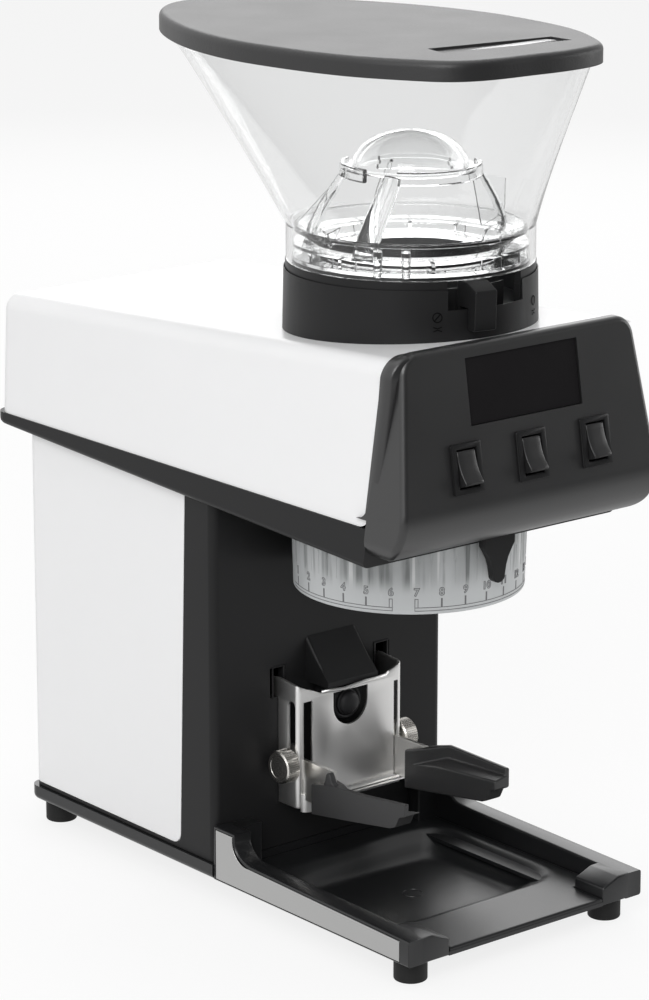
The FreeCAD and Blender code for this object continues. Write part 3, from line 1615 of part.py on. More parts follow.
def make_spindle():
    """Steel spindle with the shoulder that stands on the lower bearing."""
    body = disc(spindle_radius, spindle_low, spindle_top)
    return body.fuse(disc(spindle_shoulder, shoulder_low, shoulder_high))


def make_grinder_housing():
    """Cast chamber round the burrs, with its port at the front and two ears."""
    body = disc(housing_radius, housing_low, housing_top)
    ear = block(0, housing_ear_reach, axis_y - housing_ear_width / 2, axis_y + housing_ear_width / 2,
                housing_low, housing_low + housing_ear_height)
    body = body.fuse(both_sides(ear))
    body = body.cut(disc(housing_low_bore, housing_floor, housing_top + over))
    body = body.cut(disc(housing_bore, burr_seat_z, housing_top + over))
    body = body.cut(disc(bearing_radius, 0, upper_bearing_z + bearing_width))
    body = body.cut(disc(spindle_radius + slack, 0, lid_top))
    port = block(-chute_half + chute_wall, chute_half - chute_wall, axis_y - housing_radius - over,
                 axis_y - sweeper_blade_root,
                 port_low, port_high)
    return body.cut(port)


def make_ring_burr():
    """Fixed burr with a toothed bore that narrows to the bottom."""
    z1 = burr_seat_z + ring_burr_height
    body = disc(ring_burr_outer, burr_seat_z, z1)
    body = body.cut(taper(ring_burr_low_bore, ring_burr_high_bore, burr_seat_z, z1))
    cutter = side_prism([(axis_y - ring_burr_low_bore - tooth_depth, burr_seat_z - over),
                         (axis_y - ring_burr_high_bore - tooth_depth, z1 + over),
                         (axis_y - cone_burr_high, z1 + over), (axis_y - cone_burr_high, burr_seat_z - over)],
                        -tooth_depth / 2, tooth_depth / 2)
    return body.cut(around(cutter, ring_burr_teeth))


def make_cone_burr():
    """Turning burr: coarse leaning flutes that draw the beans in, and fine teeth at the foot."""
    z0 = burr_seat_z + slack
    z1 = z0 + cone_burr_height
    body = taper(cone_burr_low, cone_burr_high, z0, z1)
    flute = block(-cone_flute_depth / 2, cone_flute_depth / 2, axis_y - cone_burr_low - over,
                  axis_y - cone_burr_high + tooth_depth,
                  z0 + cone_teeth_height, z1 + over)
    flute.rotate(vec(0, axis_y - cone_burr_high, z0 + cone_teeth_height), vec(0, 1, 0), flute_lean_deg)
    notch = block(-tooth_depth / 2, tooth_depth / 2, axis_y - cone_burr_low - over,
                  axis_y - cone_burr_low + tooth_depth * 2,
                  z0 - over, z0 + cone_teeth_height)
    body = body.cut(around(flute, cone_flutes)).cut(around(notch, cone_teeth))
    return body.cut(disc(spindle_radius + hair, 0, lid_top))


def make_sweeper():
    """Disc with blades that pushes the grounds to the port."""
    body = disc(sweeper_radius, sweeper_z, sweeper_z + sweeper_disc)
    blade = block(-sweeper_blade_width / 2, sweeper_blade_width / 2, axis_y - sweeper_radius + slack,
                  axis_y - sweeper_blade_root / 2,
                  sweeper_z, sweeper_z + sweeper_disc + sweeper_blade_height)
    hub = disc(sweeper_blade_root, sweeper_z, burr_seat_z + slack - hair)
    body = body.fuse(around(blade, sweeper_blades) + [hub])
    return body.cut(disc(spindle_radius + hair, 0, lid_top))


def make_burr_nut():
    """Hexagon nut that clamps the cone burr."""
    z0 = burr_seat_z + slack + cone_burr_height + hair
    step = full_turn_deg / nut_sides
    points = [(nut_radius * math.cos(math.radians(step * i)),
               axis_y + nut_radius * math.sin(math.radians(step * i)))
              for i in range(nut_sides)]
    return plan_prism(points, z0, z0 + nut_height).cut(disc(spindle_radius + hair, 0, lid_top))


def make_bean_throat():
    """Funnel from the hopper's floor to the burrs."""
    low = housing_top + hair
    flange = disc(housing_radius, low, low + throat_flange)
    top = collar_ledge_z - slack
    outer = taper(throat_low_bore + throat_wall, throat_high_bore + throat_wall, low, top)
    inner = taper(throat_low_bore, throat_high_bore, low - hair, top + hair)
    return flange.fuse(outer).cut(inner)


def make_grounds_chute():
    """Rectangular duct from the port of the chamber down in front of the drive gear."""
    body = block(-chute_half, chute_half, chute_front, chute_rear, chute_bottom, chute_top)
    head = block(-chute_half, chute_half, chute_rear - chute_wall, chute_head_rear, port_low - chute_wall,
                 chute_top)
    body = body.fuse(head)
    duct = block(-chute_half + chute_wall, chute_half - chute_wall, chute_front + chute_wall,
                 chute_rear - chute_wall,
                 chute_bottom - over, chute_top - chute_wall)
    mouth = block(-chute_half + chute_wall, chute_half - chute_wall, chute_front + chute_wall,
                  chute_head_rear + over,
                  port_low, chute_top - chute_wall)
    body = body.cut([duct, mouth])
    return body.cut(disc(housing_radius + slack, housing_low - over, lid_top))


def funnel_wires(inset):
    """Rectangle under the chute and circle at the outlet."""
    half = chute_half - inset
    front = chute_front + inset
    rear = chute_rear - inset
    z0 = chute_bottom - slack
    top = Part.makePolygon([vec(-half, front, z0), vec(half, front, z0), vec(half, rear, z0),
                            vec(-half, rear, z0), vec(-half, front, z0)])
    low = Part.Wire([Part.makeCircle(funnel_outlet - inset, vec(0, funnel_outlet_y, funnel_bottom))])
    return [low, top]


def make_outlet_funnel():
    """Funnel that brings the grounds back under the middle of the ring."""
    return Part.makeLoft(funnel_wires(0), True, True).cut(Part.makeLoft(funnel_wires(funnel_wall), True,
                                                                        True))


# Electrics

def make_power_inlet():
    """Inlet socket at the rear with three pins."""
    low = inlet_z - inlet_height / 2
    high = inlet_z + inlet_height / 2
    body = block(-inlet_half, inlet_half, column_rear - inlet_depth, column_rear + hair, low, high)
    flange = block(-inlet_half - inlet_flange, inlet_half + inlet_flange, column_rear + hair,
                   column_rear + inlet_proud,
                   low - inlet_flange, high + inlet_flange)
    flange = rounded(flange, inlet_flange / 2, edges_along(flange, vec(0, 1, 0)))
    cavity = block(-inlet_cavity_half, inlet_cavity_half, column_rear + inlet_proud - inlet_cavity_depth,
                   column_rear + over,
                   inlet_z - inlet_cavity_height / 2, inlet_z + inlet_cavity_height / 2)
    rear = column_rear + inlet_proud - inlet_pin_recess
    pins = []
    for x, z in ((-inlet_pin_offset, inlet_z - inlet_pin_height / 2), (0, inlet_z),
                 (inlet_pin_offset, inlet_z - inlet_pin_height / 2)):
        pins.append(block(x - inlet_pin_half, x + inlet_pin_half,
                          column_rear + inlet_proud - inlet_cavity_depth - hair, rear,
                          z, z + inlet_pin_height))
    return body.fuse(flange).cut(cavity).fuse(pins)


def make_control_board():
    """Circuit board on the column's rear wall with its posts and two tall parts."""
    rear = column_rear - cover_skin - seat - wall - seat
    front = rear - control_post - control_thickness
    board = block(-control_half, control_half, front, front + control_thickness, control_low, control_high)
    posts = []
    for x in (-control_half + control_post, control_half - control_post):
        for z in (control_low + control_post, control_high - control_post):
            posts.append(barrel(control_post_radius, front, rear, x, z))
    filter_block = block(-control_part_half, control_part_half, front - control_part_height / 2, front + hair,
                         control_low + control_part_half,
                         control_low + control_part_half + control_part_length)
    relay = block(control_relay_half, control_relay_half + control_relay_width,
                  front - control_part_height / 2, front + hair,
                  control_high - control_part_half - control_part_length, control_high - control_part_half)
    return board.fuse(posts + [filter_block, relay])


def build():
    """All pieces by node name."""
    pieces = {
        "base_tray": make_base_tray(),
        "rubber_feet": make_feet(),
        "side_trim_right": make_side_trim(),
        "side_trim_left": mirrored(make_side_trim()),
        "catch_tray": make_catch_tray(),
        "column_frame": make_column_frame(),
        "column_cover": make_column_cover(),
        "head_pan": make_head_pan(),
        "head_cover": make_head_cover(),
        "front_panel": make_front_panel(),
        "display_window": make_display_window(),
        "display_board": make_display_board(),
        "hopper_collar": make_hopper_collar(),
        "hopper_base": make_hopper_base(),
        "bean_shutter": make_bean_shutter(),
        "hopper_shell": make_hopper_shell(),
        "hopper_lid": make_hopper_lid(),
        "finger_guard": make_finger_guard(),
        "adjustment_ring": make_adjustment_ring(),
        "scale_pointer": make_scale_pointer(),
        "bracket_plate": make_bracket_plate(),
        "fork_carrier": make_fork_carrier(),
        "fork_arm_right": make_fork_arm(arm_top),
        "fork_arm_left": mirrored(make_fork_arm(arm_left_top)),
        "thumb_screw_right": make_thumb_screw(),
        "thumb_screw_left": mirrored(make_thumb_screw()),
        "switch_hood": make_switch_hood(),
        "start_button": make_start_button(),
        "start_switch": make_start_switch(),
        "support_plate": make_support_plate(),
        "gear_case": make_gear_case(),
        "gear_cover": make_gear_cover(),
        "guide_pins": make_guide_pins(),
        "motor_can": make_motor_can(),
        "motor_rotor": make_motor_rotor(),
        "motor_pinion": make_motor_pinion(),
        "first_idler": make_first_idler(),
        "second_idler": make_second_idler(),
        "drive_gear": make_drive_gear(),
        "lower_bearing": make_bearing(lower_bearing_z),
        "upper_bearing": make_bearing(upper_bearing_z),
        "thrust_carrier": make_thrust_carrier(),
        "spindle": make_spindle(),
        "grinder_housing": make_grinder_housing(),
        "ring_burr": make_ring_burr(),
        "cone_burr": make_cone_burr(),
        "sweeper": make_sweeper(),
        "burr_nut": make_burr_nut(),
        "bean_throat": make_bean_throat(),
        "grounds_chute": make_grounds_chute(),
        "outlet_funnel": make_outlet_funnel(),
        "power_inlet": make_power_inlet(),
        "control_board": make_control_board(),
    }
    for name, x in zip(("left", "middle", "right"), rocker_places()):
        pieces["switch_body_" + name] = make_switch_body(x)
        pieces["rocker_" + name] = make_rocker(x)
    return pieces


def main():
    """Move the origin to the middle of the footprint and write every piece."""
    pieces = build()
    shift = -(chin_centre_y() - panel_chin_radius + pan_rear) / 2
    print("shift along y", shift)
    os.makedirs("parts", exist_ok=True)
    for name, shape in pieces.items():
        shape.translate(vec(0, shift, 0))
        shape.exportStep("parts/" + name + ".step")


main()
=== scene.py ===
import logging
import math
from dataclasses import dataclass, field
from enum import Enum
from typing import Callable, Optional, Sequence, Union

import bmesh
import bpy
from mathutils import Matrix, Vector


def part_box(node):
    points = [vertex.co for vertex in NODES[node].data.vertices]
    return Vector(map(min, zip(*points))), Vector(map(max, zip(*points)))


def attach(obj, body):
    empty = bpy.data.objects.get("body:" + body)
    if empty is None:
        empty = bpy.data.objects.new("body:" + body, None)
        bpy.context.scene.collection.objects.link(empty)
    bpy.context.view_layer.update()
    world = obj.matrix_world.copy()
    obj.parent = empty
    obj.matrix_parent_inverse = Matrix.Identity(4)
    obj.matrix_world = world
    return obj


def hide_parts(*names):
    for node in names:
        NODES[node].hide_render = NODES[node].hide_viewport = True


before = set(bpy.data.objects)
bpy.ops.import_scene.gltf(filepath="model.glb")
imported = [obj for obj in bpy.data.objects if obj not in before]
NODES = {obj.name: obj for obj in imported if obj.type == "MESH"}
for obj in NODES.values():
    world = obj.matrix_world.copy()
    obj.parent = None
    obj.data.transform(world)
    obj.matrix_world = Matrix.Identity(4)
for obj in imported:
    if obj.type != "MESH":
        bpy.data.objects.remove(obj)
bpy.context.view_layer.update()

LOG = logging.getLogger("grinder")

Point = tuple[float, float, float]
Flat = tuple[float, float]
Colour = tuple[float, float, float]
Profile = tuple[Flat, ...]
Span = tuple[float, float, float, float]
Placer = Callable[[float, float, float], Point]

MM = 0.001
TURN = 2 * math.pi
BEVEL_DEG = 30.0
FLAT_DEG = 0.5
MERGED = 0.01 * MM


# Shader arithmetic


class Signal:
    """A shader socket that takes part in arithmetic on numbers."""

    def __init__(self, shader: "Shader", socket: bpy.types.NodeSocket) -> None:
        """Keep the shader whose tree gets new nodes, and the socket that carries the number."""
        self.shader, self.socket = shader, socket

    def _with(self, operation: str, first: "Value", second: "Value") -> "Signal":
        """Result of one Math node."""
        made = self.shader.node("ShaderNodeMath", {0: first, 1: second}, operation=operation)
        return Signal(self.shader, made.outputs[0])

    def __add__(self, other: "Value") -> "Signal":
        """Sum."""
        return self._with("ADD", self, other)

    def __radd__(self, other: "Value") -> "Signal":
        """Sum with a number on the left."""
        return self._with("ADD", other, self)

    def __sub__(self, other: "Value") -> "Signal":
        """Difference."""
        return self._with("SUBTRACT", self, other)

    def __rsub__(self, other: "Value") -> "Signal":
        """Difference from a number."""
        return self._with("SUBTRACT", other, self)

    def __mul__(self, other: "Value") -> "Signal":
        """Product."""
        return self._with("MULTIPLY", self, other)

    def __rmul__(self, other: "Value") -> "Signal":
        """Product with a number on the left."""
        return self._with("MULTIPLY", other, self)

    def __truediv__(self, other: "Value") -> "Signal":
        """Quotient."""
        return self._with("DIVIDE", self, other)

    def at_least(self, other: "Value") -> "Signal":
        """The larger of two values."""
        return self._with("MAXIMUM", self, other)

    def at_most(self, other: "Value") -> "Signal":
        """The smaller of two values."""
        return self._with("MINIMUM", self, other)

    def spread(self, low: float, high: float, to_low: float = 0.0, to_high: float = 1.0) -> "Signal":
        """Map a range smoothly to another.

        Args:
            low: Start of the incoming range.
            high: End of the incoming range.
            to_low: Value at the start.
            to_high: Value at the end.

        Returns:
            The mapped value.
        """
        made = self.shader.node("ShaderNodeMapRange", {0: self, 1: low, 2: high, 3: to_low, 4: to_high},
                                interpolation_type="SMOOTHSTEP")
        return Signal(self.shader, made.outputs[0])


Value = Union[float, int, Sequence[float], Signal, bpy.types.NodeSocket]


class Shader:
    """Node tree of a material or of the world, built from Python expressions."""

    def __init__(self, name: str, world: bool = False) -> None:
        """Start an empty node tree.

        Args:
            name: Name of the material or world.
            world: Whether the tree is the world's.
        """
        self.owner = bpy.data.worlds.new(name) if world else bpy.data.materials.new(name)
        self.owner.use_nodes = True
        self.tree = self.owner.node_tree
        self.tree.nodes.clear()
        self.output = self.tree.nodes.new("ShaderNodeOutputWorld" if world else "ShaderNodeOutputMaterial")

    def node(self, kind: str, inputs: Optional[dict] = None, **settings: str) -> bpy.types.Node:
        """Add a node of any kind.

        Args:
            kind: The node's type.
            inputs: Values or links by socket name or number.
            **settings: Properties of the node, set first.

        Returns:
            The new node.
        """
        made = self.tree.nodes.new(kind)
        for key, value in settings.items():
            setattr(made, key, value)
        for key, value in (inputs or {}).items():
            self._feed(made.inputs[key], value)
        return made

    def _feed(self, socket: bpy.types.NodeSocket, value: Value) -> None:
        """Set a socket's value or link it.

        Args:
            socket: The input to feed.
            value: A number, a colour, a signal or an output socket.
        """
        if isinstance(value, (Signal, bpy.types.NodeSocket)):
            self.tree.links.new(value.socket if isinstance(value, Signal) else value, socket)
        elif isinstance(value, (int, float)):
            socket.default_value = value
        else:
            wanted = len(socket.default_value)
            socket.default_value = tuple(value) + (1.0,) * (wanted - len(value))

    def place(self) -> bpy.types.NodeSocket:
        """Position on the piece, in metres in the rest frame."""
        return self.node("ShaderNodeTexCoord").outputs["Object"]

    def stretched(self, scale: Point) -> bpy.types.NodeSocket:
        """Position on the piece with each axis scaled."""
        inputs = {"Vector": self.place(), "Scale": scale}
        return self.node("ShaderNodeMapping", inputs, vector_type="POINT").outputs[0]

    def vector(self, operation: str, *inputs: Value) -> bpy.types.Node:
        """Vector Math node."""
        return self.node("ShaderNodeVectorMath", dict(enumerate(inputs)), operation=operation)

    def distance(self, centre: Point) -> bpy.types.NodeSocket:
        """Distance from an axis along X, as a vector along X.

        Args:
            centre: A point of the axis.

        Returns:
            The vector.
        """
        off = self.vector("SUBTRACT", self.place(), centre)
        flat = self.vector("MULTIPLY", off.outputs[0], (0.0, 1.0, 1.0))
        length = self.vector("LENGTH", flat.outputs[0])
        return self.node("ShaderNodeCombineXYZ", {"X": length.outputs["Value"]}).outputs[0]

    def along(self, where: bpy.types.NodeSocket, way: Point) -> Signal:
        """Length of a vector along a direction of length 1."""
        return Signal(self, self.vector("DOT_PRODUCT", where, way).outputs["Value"])

    def noise(self, size: float, detail: float = 2.0, roughness: float = 0.5,
              where: Optional[bpy.types.NodeSocket] = None) -> Signal:
        """Noise between 0 and 1 with features of a given size.

        Args:
            size: Size of the features in metres, or in units of where.
            detail: Number of octaves.
            roughness: Strength of the finer octaves.
            where: Position to sample, or None for the piece's own.

        Returns:
            The noise.
        """
        made = self.node("ShaderNodeTexNoise", {
            "Vector": where or self.place(), "Scale": 1 / size, "Detail": detail, "Roughness": roughness},
            noise_dimensions="3D")
        return Signal(self, made.outputs["Fac"])

    def blend(self, factor: Value, first: Value, second: Value) -> bpy.types.NodeSocket:
        """Mix two colours; the factor is the second one's share."""
        return self.node("ShaderNodeMix", {0: factor, 6: first, 7: second}, data_type="RGBA").outputs[2]

    def bump(self, height: Signal, depth: float) -> bpy.types.NodeSocket:
        """Normal bent by a height from 0 to 1 that is so many metres deep."""
        return self.node("ShaderNodeBump", {"Height": height, "Distance": depth}).outputs["Normal"]

    def rays(self, kind: str) -> Signal:
        """1 for rays of a kind, named as the Light Path output, else 0."""
        return Signal(self, self.node("ShaderNodeLightPath").outputs[kind])

    def seen(self) -> Signal:
        """1 for rays that come from the camera, also through clear pieces, else 0."""
        return self.rays("Is Camera Ray").at_least(self.rays("Is Transmission Ray"))

    def surface(self, shader: bpy.types.Node) -> Union[bpy.types.Material, bpy.types.World]:
        """Connect the surface and hand over the finished material or world."""
        self.tree.links.new(shader.outputs[0], self.output.inputs["Surface"])
        return self.owner

    def skin(self, inputs: dict) -> bpy.types.Material:
        """Finished material with one surface shader, from values or links by socket name."""
        return self.surface(self.node("ShaderNodeBsdfPrincipled", inputs))


# Finishes


@dataclass(frozen=True)
class Moulded:
    """Moulded plastic or rubber with a fine spark-eroded grain."""

    name: str
    slot: str
    colour: Colour
    roughness: float = 0.42
    grain: float = 0.0006
    depth: float = 0.000025
    gloss: float = 0.22
    cloud: float = 0.12
    cloud_size: float = 0.03
    cloud_share: float = 0.6
    cloud_rough: float = 0.06
    grain_rough: float = 0.04

    def material(self) -> bpy.types.Material:
        """Build the material.

        Returns:
            The material.
        """
        shader = Shader(self.name)
        grain = shader.noise(self.grain, 3.0, 0.6)
        cloud = shader.noise(self.cloud_size, 2.0)
        darker, lighter = (tuple(c * (1 + k * self.cloud) for c in self.colour) for k in (-1, 1))
        middle = self.roughness - (self.cloud_rough + self.grain_rough) / 2
        mottle = cloud * self.cloud_share + grain * (1 - self.cloud_share)
        return shader.skin({
            "Base Color": shader.blend(mottle, darker, lighter),
            "Roughness": middle + cloud * self.cloud_rough + grain * self.grain_rough,
            "Specular IOR Level": self.gloss,
            "Normal": shader.bump(grain, self.depth)})


@dataclass(frozen=True)
class Painted:
    """Smooth paint with a faint orange peel."""

    name: str
    slot: str
    colour: Colour
    roughness: float = 0.36
    peel: float = 0.0016
    depth: float = 0.000006
    dim: float = 0.985
    cloud_size: float = 0.06
    cloud_rough: float = 0.06
    coat: float = 0.15
    coat_roughness: float = 0.2

    def material(self) -> bpy.types.Material:
        """Build the material.

        Returns:
            The material.
        """
        shader = Shader(self.name)
        peel = shader.noise(self.peel, 2.0, 0.4)
        cloud = shader.noise(self.cloud_size, 2.0)
        return shader.skin({
            "Base Color": shader.blend(cloud, tuple(c * self.dim for c in self.colour), self.colour),
            "Roughness": self.roughness - self.cloud_rough / 2 + cloud * self.cloud_rough,
            "Coat Weight": self.coat,
            "Coat Roughness": self.coat_roughness,
            "Normal": shader.bump(peel, self.depth)})


class Grain(Enum):
    """Direction in which a metal is brushed or turned."""

    ACROSS = (0.02, 1.0, 1.0)
    UP = (1.0, 1.0, 0.02)
    ALONG = (1.0, 0.02, 1.0)
    PLAIN = (1.0, 1.0, 1.0)


@dataclass(frozen=True)
class Metal:
    """Brushed, turned, ground or cast metal."""

    name: str
    slot: str
    colour: Colour
    roughness: float = 0.28
    grain: Grain = Grain.PLAIN
    line: float = 0.0004
    depth: float = 0.000004
    turned_about: Optional[Point] = None
    dim: float = 0.93
    cloud_size: float = 0.02
    smoother: float = 0.06
    line_rough: float = 0.1
    cloud_rough: float = 0.03

    def material(self) -> bpy.types.Material:
        """Build the material.

        Returns:
            The material.
        """
        shader = Shader(self.name)
        turned = self.turned_about
        where = shader.distance(turned) if turned else shader.stretched(self.grain.value)
        lines = shader.noise(self.line, 3.0, 0.6, where)
        cloud = shader.noise(self.cloud_size, 2.0)
        dim = tuple(c * self.dim for c in self.colour)
        return shader.skin({
            "Base Color": shader.blend(lines * 0.5 + cloud * 0.5, dim, self.colour),
            "Metallic": 1.0,
            "Roughness": self.roughness - self.smoother + lines * self.line_rough + cloud * self.cloud_rough,
            "Normal": shader.bump(lines, self.depth)})


@dataclass(frozen=True)
class Clear:
    """Clear moulded plastic with faint flow marks."""

    name: str
    slot: str
    tint: Colour = (0.993, 0.996, 0.996)
    shadow: Colour = (0.93, 0.94, 0.94)
    roughness: float = 0.015
    flow_rough: float = 0.02
    bending: float = 1.47
    flow: float = 0.012
    flow_way: Point = (1.0, 1.0, 0.35)
    depth: float = 0.00004

    def material(self) -> bpy.types.Material:
        """Build the material, which lets direct light through.

        Returns:
            The material.
        """
        shader = Shader(self.name)
        flow = shader.noise(self.flow, 2.0, 0.4, shader.stretched(self.flow_way))
        body = shader.node("ShaderNodeBsdfPrincipled", {
            "Base Color": self.tint,
            "Roughness": self.roughness + flow * self.flow_rough,
            "IOR": self.bending,
            "Transmission Weight": 1.0,
            "Normal": shader.bump(flow, self.depth)})
        through = shader.node("ShaderNodeBsdfTransparent", {"Color": self.shadow})
        return shader.surface(shader.node("ShaderNodeMixShader", {
            0: shader.rays("Is Shadow Ray"), 1: body.outputs[0], 2: through.outputs[0]}))


@dataclass(frozen=True)
class Frosted:
    """Pale translucent plastic of the numbered ring, with painted shade and painted light in upright streaks
    on its upper part, where parts stand behind it.
    """

    name: str
    slot: str
    colour: Colour = (0.5, 0.515, 0.52)
    # The shade and light colours are painted shade and painted light on the ring's upper part.
    shade: Colour = (0.2, 0.21, 0.21)
    light: Colour = (0.62, 0.63, 0.63)
    upper: Flat = (0.168, 0.178)
    streak_size: float = 0.0042
    streak_way: Point = (1.0, 1.0, 0.03)
    streak_dark: Flat = (0.5, 0.36)
    streak_light: Flat = (0.62, 0.7)
    broad_size: float = 0.016
    broad_way: Point = (1.0, 1.0, 0.1)
    broad_dark: Flat = (0.6, 0.35)
    shares: Flat = (0.7, 0.4)
    grain: float = 0.0007
    depth: float = 0.00001
    roughness: float = 0.3
    grain_rough: float = 0.08
    scatter: float = 0.004
    scatter_share: float = 0.1

    def material(self) -> bpy.types.Material:
        """Build the material.

        Returns:
            The material.
        """
        shader = Shader(self.name)
        upper = shader.along(shader.place(), (0.0, 0.0, 1.0)).spread(*self.upper)
        streak = shader.noise(self.streak_size, 1.0, 0.5, shader.stretched(self.streak_way))
        broad = shader.noise(self.broad_size, 1.0, 0.5, shader.stretched(self.broad_way))
        grain = shader.noise(self.grain, 2.0)
        fine, coarse = self.shares
        # Painted shade: dark upright streaks and broad patches on the upper part, where parts stand behind
        # the ring.
        dark = streak.spread(*self.streak_dark) * fine + broad.spread(*self.broad_dark) * coarse
        body = shader.blend(dark.at_most(1.0) * upper, self.colour, self.shade)
        return shader.skin({
            # Painted light: paler upright streaks on the upper part.
            "Base Color": shader.blend(streak.spread(*self.streak_light) * upper, body, self.light),
            "Roughness": self.roughness + grain * self.grain_rough,
            "Subsurface Weight": self.scatter_share,
            "Subsurface Radius": (self.scatter,) * 3,
            "Subsurface Scale": 1.0,
            "Normal": shader.bump(grain, self.depth)})


@dataclass(frozen=True)
class Board:
    """Varnished circuit board with copper tracks."""

    name: str
    slot: str
    first: Colour = (0.02, 0.13, 0.06)
    second: Colour = (0.03, 0.17, 0.08)
    track: Colour = (0.06, 0.3, 0.13)
    scale: float = 60.0
    track_size: float = 0.03
    cloud_size: float = 0.004
    roughness: float = 0.25
    cloud_rough: float = 0.2
    coat: float = 0.4

    def material(self) -> bpy.types.Material:
        """Build the material.

        Returns:
            The material.
        """
        shader = Shader(self.name)
        made = shader.node("ShaderNodeTexBrick", {
            "Vector": shader.place(), "Color1": self.first, "Color2": self.second, "Mortar": self.track,
            "Scale": self.scale, "Mortar Size": self.track_size}, offset=0.5, squash=1.0)
        return shader.skin({
            "Base Color": made.outputs["Color"],
            "Roughness": self.roughness + shader.noise(self.cloud_size) * self.cloud_rough,
            "Coat Weight": self.coat})


class Finish(Enum):
    """Every finish on the grinder."""

    WHITE = Painted("white_coat", "white_paint", (0.88, 0.88, 0.885))
    TRIM = Metal("brushed_trim", "trim_paint", (0.52, 0.52, 0.515), 0.34, Grain.ALONG)
    CASE = Moulded("case_black", "black_plastic", (0.012, 0.012, 0.0125), 0.42)
    COLLAR = Moulded("collar_black", "black_plastic", (0.013, 0.013, 0.0135), 0.4)
    PANEL = Moulded("panel_black", "black_plastic", (0.0125, 0.0125, 0.013), 0.36, gloss=0.85)
    ROCKER = Moulded("rocker_black", "switch_plastic", (0.016, 0.016, 0.0165), 0.36, 0.0008, 0.00002, 0.6)
    # Painted reflection: the lid's plastic in pale grey, for the bright sheen in the grip recess.
    STRIP = Painted("lid_recess_painted_reflection", "lid_plastic", (0.6, 0.6, 0.605), 0.25)
    LID = Moulded("lid_black", "lid_plastic", (0.014, 0.014, 0.0145), 0.46, 0.0011, 0.00009, 0.6)
    BASE = Moulded("base_black", "base_plastic", (0.01, 0.0104, 0.0112), 0.3, gloss=0.5)
    TRAY = Moulded("tray_black", "tray_plastic", (0.0095, 0.01, 0.0107), 0.33, gloss=0.42)
    FORK = Moulded("fork_black", "fork_plastic", (0.03, 0.03, 0.0308), 0.4, gloss=0.5)
    SWITCH = Moulded("switch_black", "switch_plastic", (0.012, 0.012, 0.0125), 0.3, 0.0008, 0.00001, 0.35)
    BUTTON = Moulded("button_black", "button_rubber", (0.014, 0.014, 0.015), 0.5)
    RUBBER = Moulded("foot_rubber", "rubber", (0.016, 0.016, 0.016), 0.62, 0.001, 0.00005)
    WINDOW = Moulded("window_dark", "dark_window", (0.011, 0.0103, 0.011), 0.22, 0.02, 0.0, 0.08)
    SIGN = Moulded("sign_black", "black_plastic", (0.003, 0.003, 0.003), 0.7, gloss=0.05)
    INK = Moulded("scale_ink", "ring_plastic", (0.16, 0.16, 0.165), 0.5)
    SHEET = Metal("brushed_sheet_steel", "brushed_sheet", (0.9, 0.895, 0.885), 0.4, Grain.ACROSS, 0.0003,
                  0.000002)
    BLADE = Metal("carrier_steel", "brushed_sheet", (0.78, 0.77, 0.75), 0.3, Grain.ALONG)
    SCREW = Metal("turned_steel", "screw_steel", (0.74, 0.72, 0.68), 0.26, Grain.PLAIN, 0.0003, 0.00001,
                  turned_about=(0.0, -0.02447, 0.0636))
    CLEAR = Clear("clear_body", "clear_plastic")
    RING = Frosted("ring_frosted_painted_light_and_shade", "ring_plastic")
    STEEL = Metal("inner_steel_plain", "inner_steel", (0.6, 0.6, 0.61), 0.32)
    IRON = Metal("inner_iron_plain", "inner_iron", (0.3, 0.3, 0.31), 0.45)
    CAST = Metal("inner_cast", "inner_aluminium", (0.7, 0.7, 0.71), 0.42, Grain.PLAIN, 0.0012, 0.00004)
    BURR = Metal("burr_ground", "burr_steel", (0.52, 0.52, 0.54), 0.26, Grain.UP)
    GEAR = Moulded("gear_natural", "gear_plastic", (0.76, 0.75, 0.7), 0.4)
    INNER = Moulded("inner_black", "inner_plastic", (0.05, 0.05, 0.055), 0.5)
    BOARD = Board("board_green", "circuit_board")


class Palette:
    """Builds each finish once."""

    def __init__(self) -> None:
        """Start with nothing built."""
        self.made: dict[str, bpy.types.Material] = {}

    def get(self, finish: Finish) -> bpy.types.Material:
        """Material of a finish.

        Args:
            finish: The finish wanted.

        Returns:
            Its material, built at the first call.
        """
        if finish.name not in self.made:
            self.made[finish.name] = finish.value.material()
        return self.made[finish.name]


PALETTE = Palette()


# Mesh tools


class Cut(Enum):
    """What one volume does to another."""

    ADD = "UNION"
    TAKE = "DIFFERENCE"


